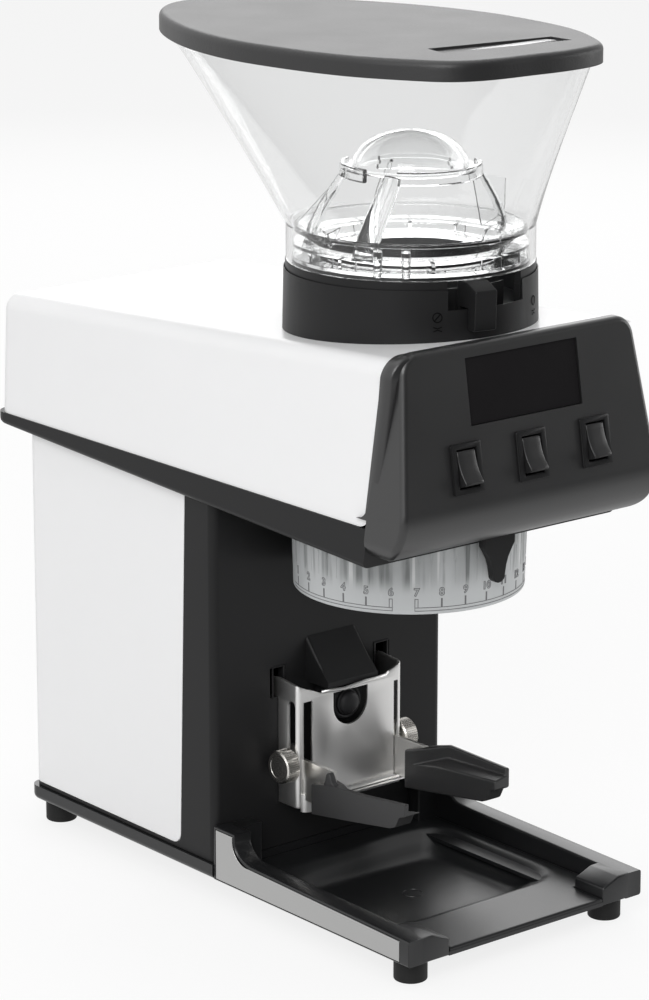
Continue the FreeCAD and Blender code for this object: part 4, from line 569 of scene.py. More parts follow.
class Form:
    """A mesh under construction, in metres in the rest frame."""

    def __init__(self) -> None:
        """Start empty."""
        self.mesh = bmesh.new()

    def rings(self, rows: Sequence[Sequence[Point]], looped: bool = False) -> "Form":
        """Skin a run of closed outlines that have the same number of points.

        Args:
            rows: The outlines.
            looped: Whether the last outline joins the first; otherwise both are filled.

        Returns:
            This form.
        """
        made = [[self.mesh.verts.new(p) for p in row] for row in rows]
        count = len(made[0])
        for low, high in zip(made, made[1:] + made[:1] if looped else made[1:]):
            for i in range(count):
                j = (i + 1) % count
                self.mesh.faces.new((low[i], low[j], high[j], high[i]))
        if not looped:
            self.mesh.faces.new(list(reversed(made[0])))
            self.mesh.faces.new(made[-1])
        return self

    def turned(self, profile: Sequence[Flat], steps: int = 96) -> "Form":
        """Turn a closed profile about the hopper's axis.

        Args:
            profile: Closed outline of (radius, height) in millimetres.
            steps: Number of steps round.

        Returns:
            This form.
        """
        turns = [TURN * i / steps for i in range(steps)]
        return self.rings([[(r * MM * math.cos(t), AXIS_Y + r * MM * math.sin(t), z * MM) for r, z in profile]
                           for t in turns], looped=True)

    def pushed(self, outline: Sequence[Point], way: Point) -> "Form":
        """Push a flat outline along a vector."""
        return self.rings([list(outline), [tuple(a + b for a, b in zip(p, way)) for p in outline]])

    def eased(self, outline: Sequence[Flat], place: Placer, start: float, end: float, ease_start: float,
              ease_end: float) -> "Form":
        """Push a flat outline along its normal, with rounded edges at both ends.

        Args:
            outline: The outline.
            place: Gives a point from both numbers of the outline and the distance along.
            start: Distance of the first end.
            end: Distance of the other end.
            ease_start: Radius of the edge at the first end.
            ease_end: Radius of the edge at the other end.

        Returns:
            This form.
        """
        area = sum(a[0] * b[1] - b[0] * a[1] for a, b in zip(outline, [*outline[1:], outline[0]]))
        inwards = -1 if area > 0 else 1
        turns = [math.pi / 6 * k for k in range(4)]
        steps = [(start + ease_start * (1 - math.cos(t)), ease_start * (1 - math.sin(t))) for t in turns]
        steps += [(end - ease_end * (1 - math.cos(t)), ease_end * (1 - math.sin(t))) for t in reversed(turns)]
        return self.rings([[place(a, b, along) for a, b in offset_loop(outline, inwards * inset)]
                           for along, inset in steps])

    def bar(self, low: Point, high: Point, steps: int = 1) -> "Form":
        """Straight bar along X, cut into steps so that it can be bent.

        Args:
            low: Lowest corner.
            high: Highest corner.
            steps: Number of steps along X.

        Returns:
            This form.
        """
        (x0, y0, z0), (x1, y1, z1) = low, high
        xs = [x0 + (x1 - x0) * i / steps for i in range(steps + 1)]
        return self.rings([[(x, y0, z0), (x, y1, z0), (x, y1, z1), (x, y0, z1)] for x in xs])

    def swept(self, path: Sequence[Point], section: Sequence[Flat], up: Point = (0.0, 0.0, 1.0),
              sizes: Optional[Sequence[float]] = None) -> "Form":
        """Carry a closed section along a path.

        Args:
            path: Points of the middle line.
            section: Outline as (sideways, upwards) of the path.
            up: Direction that the section's second number points to.
            sizes: Scale of the section at each point, or None for 1.

        Returns:
            This form.
        """
        spots = [Vector(p) for p in path]
        rows = []
        for i, spot in enumerate(spots):
            way = (spots[min(i + 1, len(spots) - 1)] - spots[max(i - 1, 0)]).normalized()
            side = way.cross(Vector(up)).normalized()
            rise = side.cross(way).normalized()
            size = sizes[i] if sizes else 1.0
            rows.append([tuple(spot + side * (a * size) + rise * (b * size)) for a, b in section])
        return self.rings(rows)

    def from_curve(self, curve: bpy.types.Curve, shift: Point = (0.0, 0.0, 0.0)) -> "Form":
        """Take over a curve's mesh.

        Args:
            curve: The curve, used up by this.
            shift: How far the mesh is moved.

        Returns:
            This form.
        """
        holder = bpy.data.objects.new(curve.name, curve)
        data = bpy.data.meshes.new_from_object(holder)
        data.transform(Matrix.Translation(shift))
        self.mesh.from_mesh(data)
        bpy.data.objects.remove(holder)
        bpy.data.curves.remove(curve)
        bpy.data.meshes.remove(data)
        return self

    def plate(self, outline: Sequence[Flat], holes: Sequence[Sequence[Flat]], thickness: float,
              edge: float) -> "Form":
        """Flat plate in X and Y with holes and eased edges, its middle at height 0.

        Args:
            outline: The outer outline.
            holes: Outlines of the holes.
            thickness: The plate's thickness.
            edge: Width of the eased edges.

        Returns:
            This form.
        """
        curve = bpy.data.curves.new("plate", "CURVE")
        curve.dimensions = "2D"
        curve.fill_mode = "BOTH"
        curve.extrude = thickness / 2 - edge
        curve.bevel_depth = edge
        curve.bevel_resolution = 1
        curve.offset = -edge
        for loop in (outline, *holes):
            spline = curve.splines.new("POLY")
            spline.points.add(len(loop) - 1)
            for point, (x, y) in zip(spline.points, loop):
                point.co = (x, y, 0.0, 1.0)
            spline.use_cyclic_u = True
        self.from_curve(curve)
        bmesh.ops.remove_doubles(self.mesh, verts=self.mesh.verts, dist=MERGED)
        return self

    def letters(self, text: str, height: float, line: float, place: Flat) -> "Form":
        """Outlined figures that lie flat, their middle at a place.

        Args:
            text: The figures.
            height: Height of a figure.
            line: Width of the outline.
            place: Where the middle goes, in X and Y.

        Returns:
            This form.
        """
        curve = bpy.data.curves.new("letters", "FONT")
        curve.body = text
        curve.size = height * 1.38
        curve.align_x = "CENTER"
        curve.fill_mode = "NONE"
        curve.offset = height * 0.03
        curve.bevel_depth = line / 2
        curve.bevel_resolution = 1
        curve.resolution_u = 3
        return self.from_curve(curve, (place[0], place[1] - height / 2, 0))

    def sliced(self, places: Sequence[float]) -> "Form":
        """Cut edge loops across X into the mesh, so that it can be bent there.

        Args:
            places: Distances of the cuts along X.

        Returns:
            This form.
        """
        for place in places:
            everything = self.mesh.verts[:] + self.mesh.edges[:] + self.mesh.faces[:]
            bmesh.ops.bisect_plane(self.mesh, geom=everything, plane_co=(place, 0, 0), plane_no=(1, 0, 0))
        return self

    def bent(self, place: Callable[[Point], Point]) -> "Form":
        """Move every point made so far.

        Args:
            place: Gives a point's new place from its old one.

        Returns:
            This form.
        """
        for vertex in self.mesh.verts:
            vertex.co = place(tuple(vertex.co))
        return self

    def raised(self, height: float) -> "Form":
        """Move everything made so far up by some metres."""
        bmesh.ops.translate(self.mesh, vec=(0.0, 0.0, height), verts=self.mesh.verts)
        return self

    def copy_of(self, node: str) -> "Form":
        """Take over the shape of a CAD node, with flat faces made whole.

        Args:
            node: The node's name.

        Returns:
            This form.
        """
        self.mesh.from_mesh(NODES[node].data)
        bmesh.ops.remove_doubles(self.mesh, verts=self.mesh.verts, dist=MERGED)
        bmesh.ops.dissolve_limit(self.mesh, angle_limit=math.radians(FLAT_DEG), verts=self.mesh.verts,
                                 edges=self.mesh.edges, delimit={"NORMAL"})
        return self

    def evened(self) -> "Form":
        """Turn all faces outwards."""
        bmesh.ops.recalc_face_normals(self.mesh, faces=self.mesh.faces)
        return self

    def join(self, other: "Form") -> "Form":
        """Take over another form's mesh.

        Args:
            other: The form, used up by this.

        Returns:
            This form.
        """
        data = bpy.data.meshes.new("joined")
        other.mesh.to_mesh(data)
        other.mesh.free()
        self.mesh.from_mesh(data)
        bpy.data.meshes.remove(data)
        return self

    def combined(self, other: "Form", cut: Cut) -> "Form":
        """Add another form's volume or take it away.

        Args:
            other: The form, used up by this.
            cut: What the other volume does.

        Returns:
            This form.
        """
        mine, tool = (form.evened().held("volume") for form in (self, other))
        other.mesh.free()
        modifier = mine.modifiers.new("cut", "BOOLEAN")
        modifier.operation = cut.value
        modifier.solver = "EXACT"
        modifier.object = tool
        settle(mine)
        self.mesh.clear()
        self.mesh.from_mesh(mine.data)
        bpy.data.objects.remove(mine)
        bpy.data.objects.remove(tool)
        return self

    def held(self, name: str) -> bpy.types.Object:
        """New object in the scene with a copy of the mesh.

        Args:
            name: The object's name.

        Returns:
            The object.
        """
        data = bpy.data.meshes.new(name)
        self.mesh.to_mesh(data)
        made = bpy.data.objects.new(name, data)
        bpy.context.scene.collection.objects.link(made)
        return made

    def piece(self, name: str, finish: Finish, body: str, bevel: float = 0.0, segments: int = 3,
              smooth_deg: float = 35.0, clamped: bool = True, node: str = "") -> bpy.types.Object:
        """Finish the mesh as a visible piece.

        Args:
            name: The piece's name.
            finish: Its finish.
            body: The CAD body that it rides on.
            bevel: Width of its rounded edges in metres, or 0.
            segments: Steps across a rounded edge.
            smooth_deg: Edges sharper than this stay sharp.
            clamped: Whether rounded edges shrink where they would meet.
            node: The CAD node that it stands for, if any.

        Returns:
            The new object.
        """
        made = self.evened().held(name)
        self.mesh.free()
        if bevel:
            modifier = made.modifiers.new("edges", "BEVEL")
            modifier.width = bevel
            modifier.segments = segments
            modifier.limit_method = "ANGLE"
            modifier.angle_limit = math.radians(BEVEL_DEG)
            modifier.use_clamp_overlap = clamped
            modifier.harden_normals = False
            settle(made)
        made.data.shade_smooth()
        made.data.set_sharp_from_angle(angle=math.radians(smooth_deg))
        if bevel:
            made.modifiers.new("shading", "WEIGHTED_NORMAL").keep_sharp = True
            settle(made)
        dress(made, finish)
        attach(made, body)
        if node:
            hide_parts(node)
        LOG.info("piece %s on %s, %d faces", name, body, len(made.data.polygons))
        return made


def settle(made: bpy.types.Object) -> None:
    """Apply all modifiers of an object.

    Args:
        made: The object.
    """
    graph = bpy.context.evaluated_depsgraph_get()
    graph.update()
    data = bpy.data.meshes.new_from_object(made.evaluated_get(graph))
    made.modifiers.clear()
    made.data = data


def dress(made: bpy.types.Object, finish: Finish) -> None:
    """Give an object its finish.

    Args:
        made: The object.
        finish: The finish.
    """
    made.data.materials.clear()
    made.data.materials.append(PALETTE.get(finish))


def softened(node: str, finish: Finish, body: str, bevel: float, segments: int = 2,
             shift: float = 0.0) -> bpy.types.Object:
    """Replace a CAD node by a copy with rounded edges.

    Args:
        node: The node's name.
        finish: Its finish.
        body: The body that it rides on.
        bevel: Width of the rounded edges in millimetres.
        segments: Steps across a rounded edge.
        shift: How far the copy is raised in millimetres.

    Returns:
        The new object.
    """
    form = Form().copy_of(node).raised(shift * MM)
    return form.piece(node + "_form", finish, body, bevel * MM, segments, node=node)


# Places taken from the CAD model

RING_LOW, RING_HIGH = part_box("adjustment_ring")
AXIS_Y = (RING_LOW.y + RING_HIGH.y) / 2
AXIS_FROM_FRONT = 85.85
FRONT_Y = AXIS_Y - AXIS_FROM_FRONT * MM


def at(x: float, y: float, z: float) -> Point:
    """A point given in millimetres, with Y counted from the front edge of the base."""
    return (x * MM, FRONT_Y + y * MM, z * MM)


def polar(radius: float, angle_deg: float, z: float) -> Point:
    """A point given in millimetres and by its angle about the hopper's axis, from the front to the right."""
    angle = math.radians(angle_deg)
    return at(radius * math.sin(angle), AXIS_FROM_FRONT - radius * math.cos(angle), z)


def in_metres(outline: Sequence[Flat]) -> list[Flat]:
    """Outline in metres from one in millimetres."""
    return [(a * MM, b * MM) for a, b in outline]


def mirrored(half: Sequence[Flat]) -> list[Flat]:
    """Closed outline from its right half."""
    return [*half, *((-x, z) for x, z in reversed(half))]


def arc(centre: Flat, radius: float, start_deg: float, end_deg: float, steps: int) -> list[Flat]:
    """Points on an arc, both ends included."""
    turns = [math.radians(start_deg + (end_deg - start_deg) * i / steps) for i in range(steps + 1)]
    return [(centre[0] + radius * math.cos(t), centre[1] + radius * math.sin(t)) for t in turns]


def spun(profile: Sequence[Flat], count: int, place: Placer) -> list[list[Point]]:
    """Rings of a turned body.

    Args:
        profile: Pairs of distance along the axis and radius.
        count: Points on each ring.
        place: Gives a point from the distance along and both distances from the axis.

    Returns:
        The rings.
    """
    turns = [TURN * i / count for i in range(count)]
    return [[place(along, radius * math.cos(t), radius * math.sin(t)) for t in turns]
            for along, radius in profile]


def smooth_loop(points: Sequence[Flat], steps: int) -> list[Flat]:
    """Closed smooth curve through points.

    Args:
        points: The points, in order.
        steps: Steps from each point to the next.

    Returns:
        The finer outline.
    """
    count = len(points)
    finer = []
    for i in range(count):
        near = [points[(i + k) % count] for k in (-1, 0, 1, 2)]
        for t in (s / steps for s in range(steps)):
            weights = (-t + 2 * t * t - t ** 3, 2 - 5 * t * t + 3 * t ** 3, t + 4 * t * t - 3 * t ** 3,
                       -t * t + t ** 3)
            finer.append(tuple(sum(w * p[k] for w, p in zip(weights, near)) / 2 for k in (0, 1)))
    return finer


def offset_loop(points: Sequence[Flat], distance: float) -> list[Flat]:
    """Closed outline moved outwards along its normals.

    Args:
        points: The outline, turning left.
        distance: How far it moves.

    Returns:
        The moved outline.
    """
    moved = []
    for i, (x, y) in enumerate(points):
        (ax, ay), (bx, by) = points[i - 1], points[(i + 1) % len(points)]
        length = math.hypot(bx - ax, by - ay)
        moved.append((x + (by - ay) / length * distance, y + (ax - bx) / length * distance))
    return moved


# Studio


@dataclass
class Studio:
    """Pale floor, soft lights and the camera."""

    floor_half: float = 9.0
    floor_glow: float = 0.82
    floor_pale: Flat = (0.9, 0.92)
    floor_cloud: float = 0.4
    lens: float = 131.41
    sensor: float = 36.0
    shift_y: float = -0.08
    clip: Flat = (0.05, 60.0)
    eye: Point = (-1.0718, -1.3146, 0.6429)
    azimuth_deg: float = 39.397
    elevation_deg: float = 13.889
    aim: Point = (0.0, -0.02, 0.22)
    world_light: float = 0.5
    dark_way: Point = (0.35, -1.0, 0.05)
    dark_span: Flat = (0.05, 0.7)
    dark_level: float = 0.12
    floor_dark_span: Flat = (0.4, 1.0)
    lamps: tuple[tuple[str, Point, float, float, float], ...] = (
        ('key', (-1.5, -1.3, 1.5), 1.3, 1.3, 26.0), ('fill', (2.0, -0.8, 0.55), 0.8, 1.0, 9.0),
        ('top', (0.1, 0.3, 2.0), 1.6, 1.6, 8.5), ('rim', (1.3, 1.4, 1.0), 1.4, 1.2, 8.0))

    def build(self) -> None:
        """Make everything that isn't part of the grinder."""
        bpy.context.scene.view_settings.view_transform = "Standard"
        self.camera()
        self.world()
        self.floor()
        for name, place, width, height, power in self.lamps:
            data = bpy.data.lights.new(name, "AREA")
            data.shape = "RECTANGLE"
            data.size, data.size_y, data.energy = width, height, power
            self.stand(name, data, place, Vector(self.aim) - Vector(place))

    def stand(self, name: str, data: bpy.types.ID, place: Point, way: Vector) -> bpy.types.Object:
        """Put a lamp or a camera into the scene.

        Args:
            name: Its name.
            data: The lamp or camera.
            place: Its place in metres.
            way: Where it looks.

        Returns:
            The new object.
        """
        made = bpy.data.objects.new(name, data)
        made.location = place
        made.rotation_euler = way.to_track_quat("-Z", "Y").to_euler()
        bpy.context.scene.collection.objects.link(made)
        return made

    def camera(self) -> None:
        """Place the camera at the photograph's view."""
        data = bpy.data.cameras.new("view")
        data.sensor_width = self.sensor
        data.lens = self.lens
        data.shift_y = self.shift_y
        data.clip_start, data.clip_end = self.clip
        azimuth, elevation = math.radians(self.azimuth_deg), math.radians(self.elevation_deg)
        way = Vector((math.sin(azimuth) * math.cos(elevation), math.cos(azimuth) * math.cos(elevation),
                      -math.sin(elevation)))
        bpy.context.scene.camera = self.stand("view", data, self.eye, way)

    def world(self) -> None:
        """White surroundings, dimmer where they light the grinder and where a dark wall is mirrored."""
        shader = Shader("studio", world=True)
        way = shader.node("ShaderNodeTexCoord").outputs["Generated"]
        toward_front = shader.along(way, Vector(self.dark_way).normalized())
        mirrored_light = toward_front.spread(*self.dark_span, 1.0, self.dark_level)
        glossy, seen = shader.rays("Is Glossy Ray"), shader.seen()
        level = glossy * mirrored_light + (1 - glossy) * self.world_light
        bpy.context.scene.world = shader.surface(shader.node("ShaderNodeBackground", {
            "Color": (1.0, 1.0, 1.0), "Strength": seen + (1 - seen) * level}))

    def floor(self) -> None:
        """Pale floor that keeps a soft shadow and mirrors darker towards the front."""
        form = Form()
        half = self.floor_half
        corners = ((-half, -half, 0), (half, -half, 0), (half, half, 0), (-half, half, 0))
        form.mesh.faces.new([form.mesh.verts.new(corner) for corner in corners])
        made = form.held("floor")
        form.mesh.free()
        shader = Shader("floor_pale")
        ahead = shader.along(shader.place(), Vector(self.dark_way).normalized())
        mirrored_light = ahead.spread(*self.floor_dark_span, self.floor_glow, self.dark_level)
        glossy, seen = shader.rays("Is Glossy Ray"), shader.seen()
        pale = shader.blend(shader.noise(self.floor_cloud), *((level,) * 3 for level in self.floor_pale))
        matt = shader.node("ShaderNodeBsdfDiffuse", {"Color": pale})
        glow = shader.node("ShaderNodeEmission", {"Color": (1.0, 1.0, 1.0),
                                                  "Strength": 1 - glossy * (1 - mirrored_light)})
        made.data.materials.append(shader.surface(shader.node("ShaderNodeMixShader", {
            0: seen * self.floor_glow + glossy, 1: matt.outputs[0], 2: glow.outputs[0]})))


# The grinder


@dataclass
class Base:
    """Base moulding with its rails, feet, side strips and catch tray."""

    front: float = 0.8
    rear: float = 143.4
    under: float = 11.4
    floor: float = 13.3
    half: float = 72.4
    rail_inner: float = 61.5
    rail_top: float = 23.8
    rail_round: float = 1.4
    overlap: float = 3.0
    sunk: float = 0.05
    block_inner: float = 47.8
    block_rear: float = 20.3
    block_round: float = 0.9
    block_ramp: Profile = (
        (47.8, 19.3), (48.05, 19.9), (48.7, 20.4), (57.0, 23.65), (58.1, 23.9), (64.5, 23.9))
    step_inner: float = 49.5
    step_front: float = 134.6
    step_drop: float = 0.4
    ear_top: float = 38.4
    ear_low: float = 25.8
    ear_rise: float = 9.2
    ear_bend: Profile = (
        (115.3, 25.76), (116.5, 25.8), (119.6, 26.35), (122.3, 27.4), (124.6, 29.0), (126.2, 30.8),
        (127.2, 32.9), (127.6, 35.0))
    pocket_front: float = 6.85
    pocket_rear: float = 141.8
    pocket_gap: float = 0.95
    pocket_edge: float = 0.83
    pocket_x: float = 71.3
    pocket_depth: float = 4.0
    outside: Point = (90.0, -5.0, 60.0)
    cut_low: float = 5.0
    play: float = 0.1
    deck_z: float = 15.2
    deck_half: float = 61.2
    deck_gap: float = 0.3
    tongue_half: float = 47.4
    well_half: float = 56.5
    well_half_length: float = 48.4
    well_middle: float = 81.8
    well_power: float = 7.0
    well_steps: int = 120
    tray_under: Profile = ((24.0, -11.2), (19.0, -11.2), (14.0, -9.8), (9.0, -5.6), (1.0, -1.7))
    tray_edge: Profile = ((0.0, -1.7), (0.0, -0.9), (0.12, -0.4), (0.4, -0.1), (0.9, 0.0), (1.6, 0.0))
    well_side: Profile = (
        (-1.0, 0.0), (0.0, 0.0), (1.2, -0.12), (2.6, -0.6), (4.2, -1.5), (6.2, -2.7), (8.2, -3.7),
        (10.0, -4.9), (12.4, -6.7), (14.8, -8.5), (16.6, -9.3), (18.6, -9.7), (20.6, -9.8), (24.0, -9.8))
    mark: Profile = ((-0.1, 5.4), (0.25, 5.2), (0.25, 4.7), (-0.1, 4.5))

    def build(self) -> None:
        """Make and dress the base."""
        self.moulding()
        for side in ("left", "right"):
            softened("side_trim_" + side, Finish.TRIM, "frame", 0.25)
        self.tray()
        softened("rubber_feet", Finish.RUBBER, "frame", 0.4)

    def rail(self, side: int) -> Form:
        """Rail with its ear, its corner block and the pocket of the side strip.

        Args:
            side: -1 for the left one, 1 for the right one.

        Returns:
            The rail.
        """
        gap, bend_end = self.pocket_gap, self.ear_bend[-1][0]
        low, joined = self.under + self.sunk, self.rail_inner + self.overlap
        outline = [(self.rear, self.under), (self.front, self.under), (self.front, self.rail_top),
                   *self.ear_bend, (bend_end, self.ear_top), (self.rear, self.ear_top)]
        shares = [(y, z, (z - self.ear_low) / self.ear_rise) for y, z in self.ear_bend]
        pocket = [(self.pocket_rear, self.under + gap), (self.pocket_front, self.under + gap),
                  (self.pocket_front, self.rail_top - self.pocket_edge),
                  *((y + gap * share, z - gap + gap * share) for y, z, share in shares),
                  (bend_end + gap, self.ear_top - gap), (self.pocket_rear, self.ear_top - gap)]
        section = [(self.block_inner, low), *self.block_ramp, (joined, low)]
        step_top = self.ear_top - self.step_drop
        step_section = [(self.step_front, low), (self.rear, low), (self.rear, step_top),
                        (self.step_front, step_top)]

        def sideways(y: float, z: float, x: float) -> Point:
            """Place of a side view's point at a distance from the middle."""
            return at(side * x, y, z)

        form = Form().eased(outline, sideways, self.rail_inner, self.half, self.rail_round, self.rail_round)
        block = Form().eased(section, lambda x, z, y: at(side * x, y, z), self.front - self.sunk,
                             self.block_rear, self.block_round, self.block_round)
        step = Form().eased(step_section, sideways, self.step_inner, joined, self.block_round, 0)
        form.combined(block, Cut.ADD).combined(step, Cut.ADD)
        hollow = Form().pushed([at(side * self.pocket_x, y, z) for y, z in pocket],
                               (side * self.pocket_depth * MM, 0.0, 0.0))
        return form.combined(hollow, Cut.TAKE)

    def moulding(self) -> None:
        """Plinth of the column with the two rails."""
        far, before, above = self.outside
        behind, inside = self.rear + self.play, self.block_inner + self.play
        edge, block_rear = self.rail_inner - 2 * self.play, self.block_rear + self.sunk
        form = Form().copy_of("base_tray")
        for x0, x1, z0, rear in ((-far, far, self.floor, behind), (-far, -edge, self.cut_low, behind),
                                 (edge, far, self.cut_low, behind), (-far, -inside, self.cut_low, block_rear),
                                 (inside, far, self.cut_low, block_rear)):
            form.combined(Form().bar(at(x0, before, z0), at(x1, rear, above)), Cut.TAKE)
        form.piece("base_tray_form", Finish.BASE, "frame", 0.3 * MM, node="base_tray")
        for side, name in ((-1, "base_rail_left"), (1, "base_rail_right")):
            self.rail(side).piece(name, Finish.BASE, "frame", smooth_deg=40.0)

    def reach(self, angle: float, inset: float) -> float:
        """Distance from the well's middle to its side, moved inwards.

        Args:
            angle: Direction in plan.
            inset: How far inside the rim.

        Returns:
            The distance in millimetres.
        """
        across = abs(math.cos(angle)) / (self.well_half - inset)
        along = abs(math.sin(angle)) / (self.well_half_length - inset)
        return (across ** self.well_power + along ** self.well_power) ** (-1 / self.well_power)

    def edge_reach(self, angle: float, inset: float) -> float:
        """Distance from the well's middle to the tray's outer edge, moved inwards.

        Args:
            angle: Direction in plan.
            inset: How far inside the edge.

        Returns:
            The distance in millimetres.
        """
        across, along = abs(math.cos(angle)) + 1e-9, abs(math.sin(angle)) + 1e-9
        deck = (self.deck_half - inset) / across
        if math.sin(angle) > 0:
            return min(deck, (self.rear - self.deck_gap - inset - self.well_middle) / along)
        main = min(deck, (self.well_middle - self.block_rear - self.deck_gap - inset) / along)
        tongue = min((self.tongue_half - inset) / across, (self.well_middle - self.front - inset) / along)
        return max(main, tongue)

    def tray(self) -> None:
        """Catch tray: a level deck and a well with broad rounded sides, with a faint ring in its floor."""
        inner, middle = self.block_rear + self.deck_gap, self.well_middle
        corners = ((self.deck_half, self.rear - self.deck_gap), (self.deck_half, inner),
                   (self.tongue_half, inner), (self.tongue_half, self.front))
        angles = [TURN * i / self.well_steps for i in range(self.well_steps)]
        angles += [math.atan2(y - middle, side * x) % TURN for x, y in corners for side in (-1, 1)]
        rows = []
        for reach, levels in ((self.reach, self.tray_under), (self.edge_reach, self.tray_edge),
                              (self.reach, self.well_side)):
            for inset, drop in levels:
                spokes = [(reach(a, inset), a) for a in sorted(angles)]
                rows.append([at(r * math.cos(a), middle + r * math.sin(a), self.deck_z + drop)
                             for r, a in spokes])
        made = Form().rings(rows)
        made.piece("catch_tray_form", Finish.TRAY, "catch_tray", smooth_deg=38.0, node="catch_tray")
        floor = self.deck_z + self.well_side[-1][1]
        rows = spun(self.mark, 48, lambda up, a, b: at(a, middle + b, floor + up))
        Form().rings(rows, looped=True).piece("tray_mark", Finish.TRAY, "catch_tray")


@dataclass
class Column:
    """Upright body with its white wrap and the rear inlet."""

    def build(self) -> None:
        """Make and dress the column."""
        softened("column_frame", Finish.CASE, "frame", 0.5)
        softened("column_cover", Finish.WHITE, "frame", 0.6, 3)
        softened("power_inlet", Finish.INNER, "frame", 0.3)


@dataclass
class Head:
    """Head with its pan, white cover, front panel, pointer and switches."""

    tilt_deg: float = 9.2
    face_y: float = 5.5
    face_z: float = 250.6
    pitch: float = 38.8
    lift: float = 4.4
    brow_corner: float = 10.0
    brow_shift: float = 1.0
    brow_turn_deg: Flat = (6.0, 84.0)
    brow_crown: float = 0.05
    brow_levels: tuple[float, ...] = (215.0, 235.0, 255.0, 270.0)
    brow_top: float = 289.0
    brow_left: Flat = (76.0, 72.7)
    brow_right: Flat = (74.2, 66.0)
    brow_y: float = 25.0
    brow_slant: float = 0.115
    brow_section: Profile = ((6.0, -5.0), (0.6, -5.0), (-0.5, -4.0), (-0.5, 2.2), (-0.2, 2.6), (6.0, 2.6))
    rim_outer: Flat = (8.55, 11.2)
    rim_inner: Flat = (5.9, 9.2)
    rim_thick: float = 0.5
    rim_edge: float = 0.12
    rim_out: float = 1.15
    rocker_v: float = -17.9
    rocker_hollow: Profile = (
        (8.0, -3.0), (8.0, 0.7), (7.4, 1.2), (5.4, 1.35), (3.0, 1.65), (0.6, 2.15), (-1.8, 2.95),
        (-3.8, 3.9), (-5.3, 4.8), (-6.3, 5.35), (-6.9, 5.2), (-7.3, 4.4), (-7.7, 2.4), (-8.0, 0.0),
        (-8.0, -3.0))
    rocker_crown: Profile = ((5.2, 0.35), (4.95, 0.12), (4.5, 0.0), (2.08, -0.1))
    pointer_y: float = 22.6
    pointer_depth: float = 4.4
    pointer_side: Profile = (
        (9.5, 195.5), (9.4, 191.0), (7.2, 187.6), (5.4, 184.4), (4.3, 181.0), (3.7, 177.6), (3.4, 175.2))
    pointer_tip: Profile = ((3.0, 174.4), (1.2, 173.2), (-0.6, 173.0), (-2.2, 173.8))

    def build(self) -> None:
        """Make and dress the head."""
        softened("head_pan", Finish.CASE, "frame", 0.8, 3)
        softened("head_cover", Finish.WHITE, "frame", 0.6, 3)
        softened("front_panel", Finish.PANEL, "frame", 0.4, shift=self.lift)
        softened("display_window", Finish.WINDOW, "frame", 0.15, shift=self.lift)
        self.brow()
        self.pointer()
        for side, u in (("left", -self.pitch), ("middle", 0.0), ("right", self.pitch)):
            self.switch(side, u)

    def brow(self) -> None:
        """Dark band behind the front panel's edge, over the front end of the white cover."""
        radius, low, top = self.brow_corner, self.brow_levels[0], self.brow_top

        def half(x_low: float, x_high: float) -> list[Flat]:
            """Right half of the band's middle line.

            Args:
                x_low: Its distance from the middle at the foot.
                x_high: Its distance from the middle at the top.

            Returns:
                The line in millimetres.
            """
            side = [(x_low + (x_high - x_low) * (z - low) / (top - low), z) for z in self.brow_levels]
            turn = arc((x_high - radius + self.brow_shift, top - radius), radius, *self.brow_turn_deg, 8)
            return [*side, *turn, (x_high / 2, top + self.brow_crown)]

        outline = half(*self.brow_right) + [(-x, z) for x, z in reversed(half(*self.brow_left))]
        path = [at(x, self.brow_y - (z - low) * self.brow_slant, z) for x, z in outline]
        form = Form().swept(path, in_metres(self.brow_section), up=(0.0, 1.0, 0.0))
        form.piece("panel_brow", Finish.PANEL, "frame", smooth_deg=50.0)

    def on_face(self, u: float, v: float, w: float) -> Point:
        """Place on the leaning front panel.

        Args:
            u: To the right of the middle.
            v: Up along the face from the row of reference.
            w: Out of the face.

        Returns:
            The point in the rest frame.
        """
        tilt = math.radians(self.tilt_deg)
        return at(u, self.face_y + v * math.sin(tilt) - w * math.cos(tilt),
                  self.face_z + self.lift + v * math.cos(tilt) + w * math.sin(tilt))

    def switch(self, side: str, u: float) -> None:
        """Rocker with a hollow face in its bezel.

        Args:
            side: Which switch.
            u: Its middle across the panel.
        """
        softened("switch_body_" + side, Finish.SWITCH, "frame", 0.35, shift=self.lift)
        outer, inner = ([(x * sx, y * sy) for sx, sy in ((1, 1), (-1, 1), (-1, -1), (1, -1))]
                        for x, y in (self.rim_outer, self.rim_inner))
        rim = Form().plate(outer, [inner], self.rim_thick, self.rim_edge)
        rim.bent(lambda p: self.on_face(u + p[0], self.rocker_v + p[1], self.rim_out + p[2]))
        rim.piece("switch_rim_" + side, Finish.SWITCH, "frame")
        places = [*((-x, drop) for x, drop in self.rocker_crown), *reversed(self.rocker_crown)]
        rows = [[self.on_face(u + x, self.rocker_v + v, w - drop if w > 0 else w)
                 for v, w in self.rocker_hollow] for x, drop in places]
        rocker = "rocker_" + side
        Form().rings(rows).piece(rocker + "_form", Finish.ROCKER, rocker, smooth_deg=42.0, node=rocker)

    def pointer(self) -> None:
        """Pointer with hollow sides that hangs over the ring's scale."""
        left = [(-x, z) for x, z in reversed(self.pointer_side)]
        front = [at(x, self.pointer_y, z) for x, z in (*self.pointer_side, *self.pointer_tip, *left)]
        form = Form().pushed(front, (0.0, self.pointer_depth * MM, 0.0))
        form.piece("scale_pointer_form", Finish.CASE, "frame", 0.7 * MM, 3, node="scale_pointer")


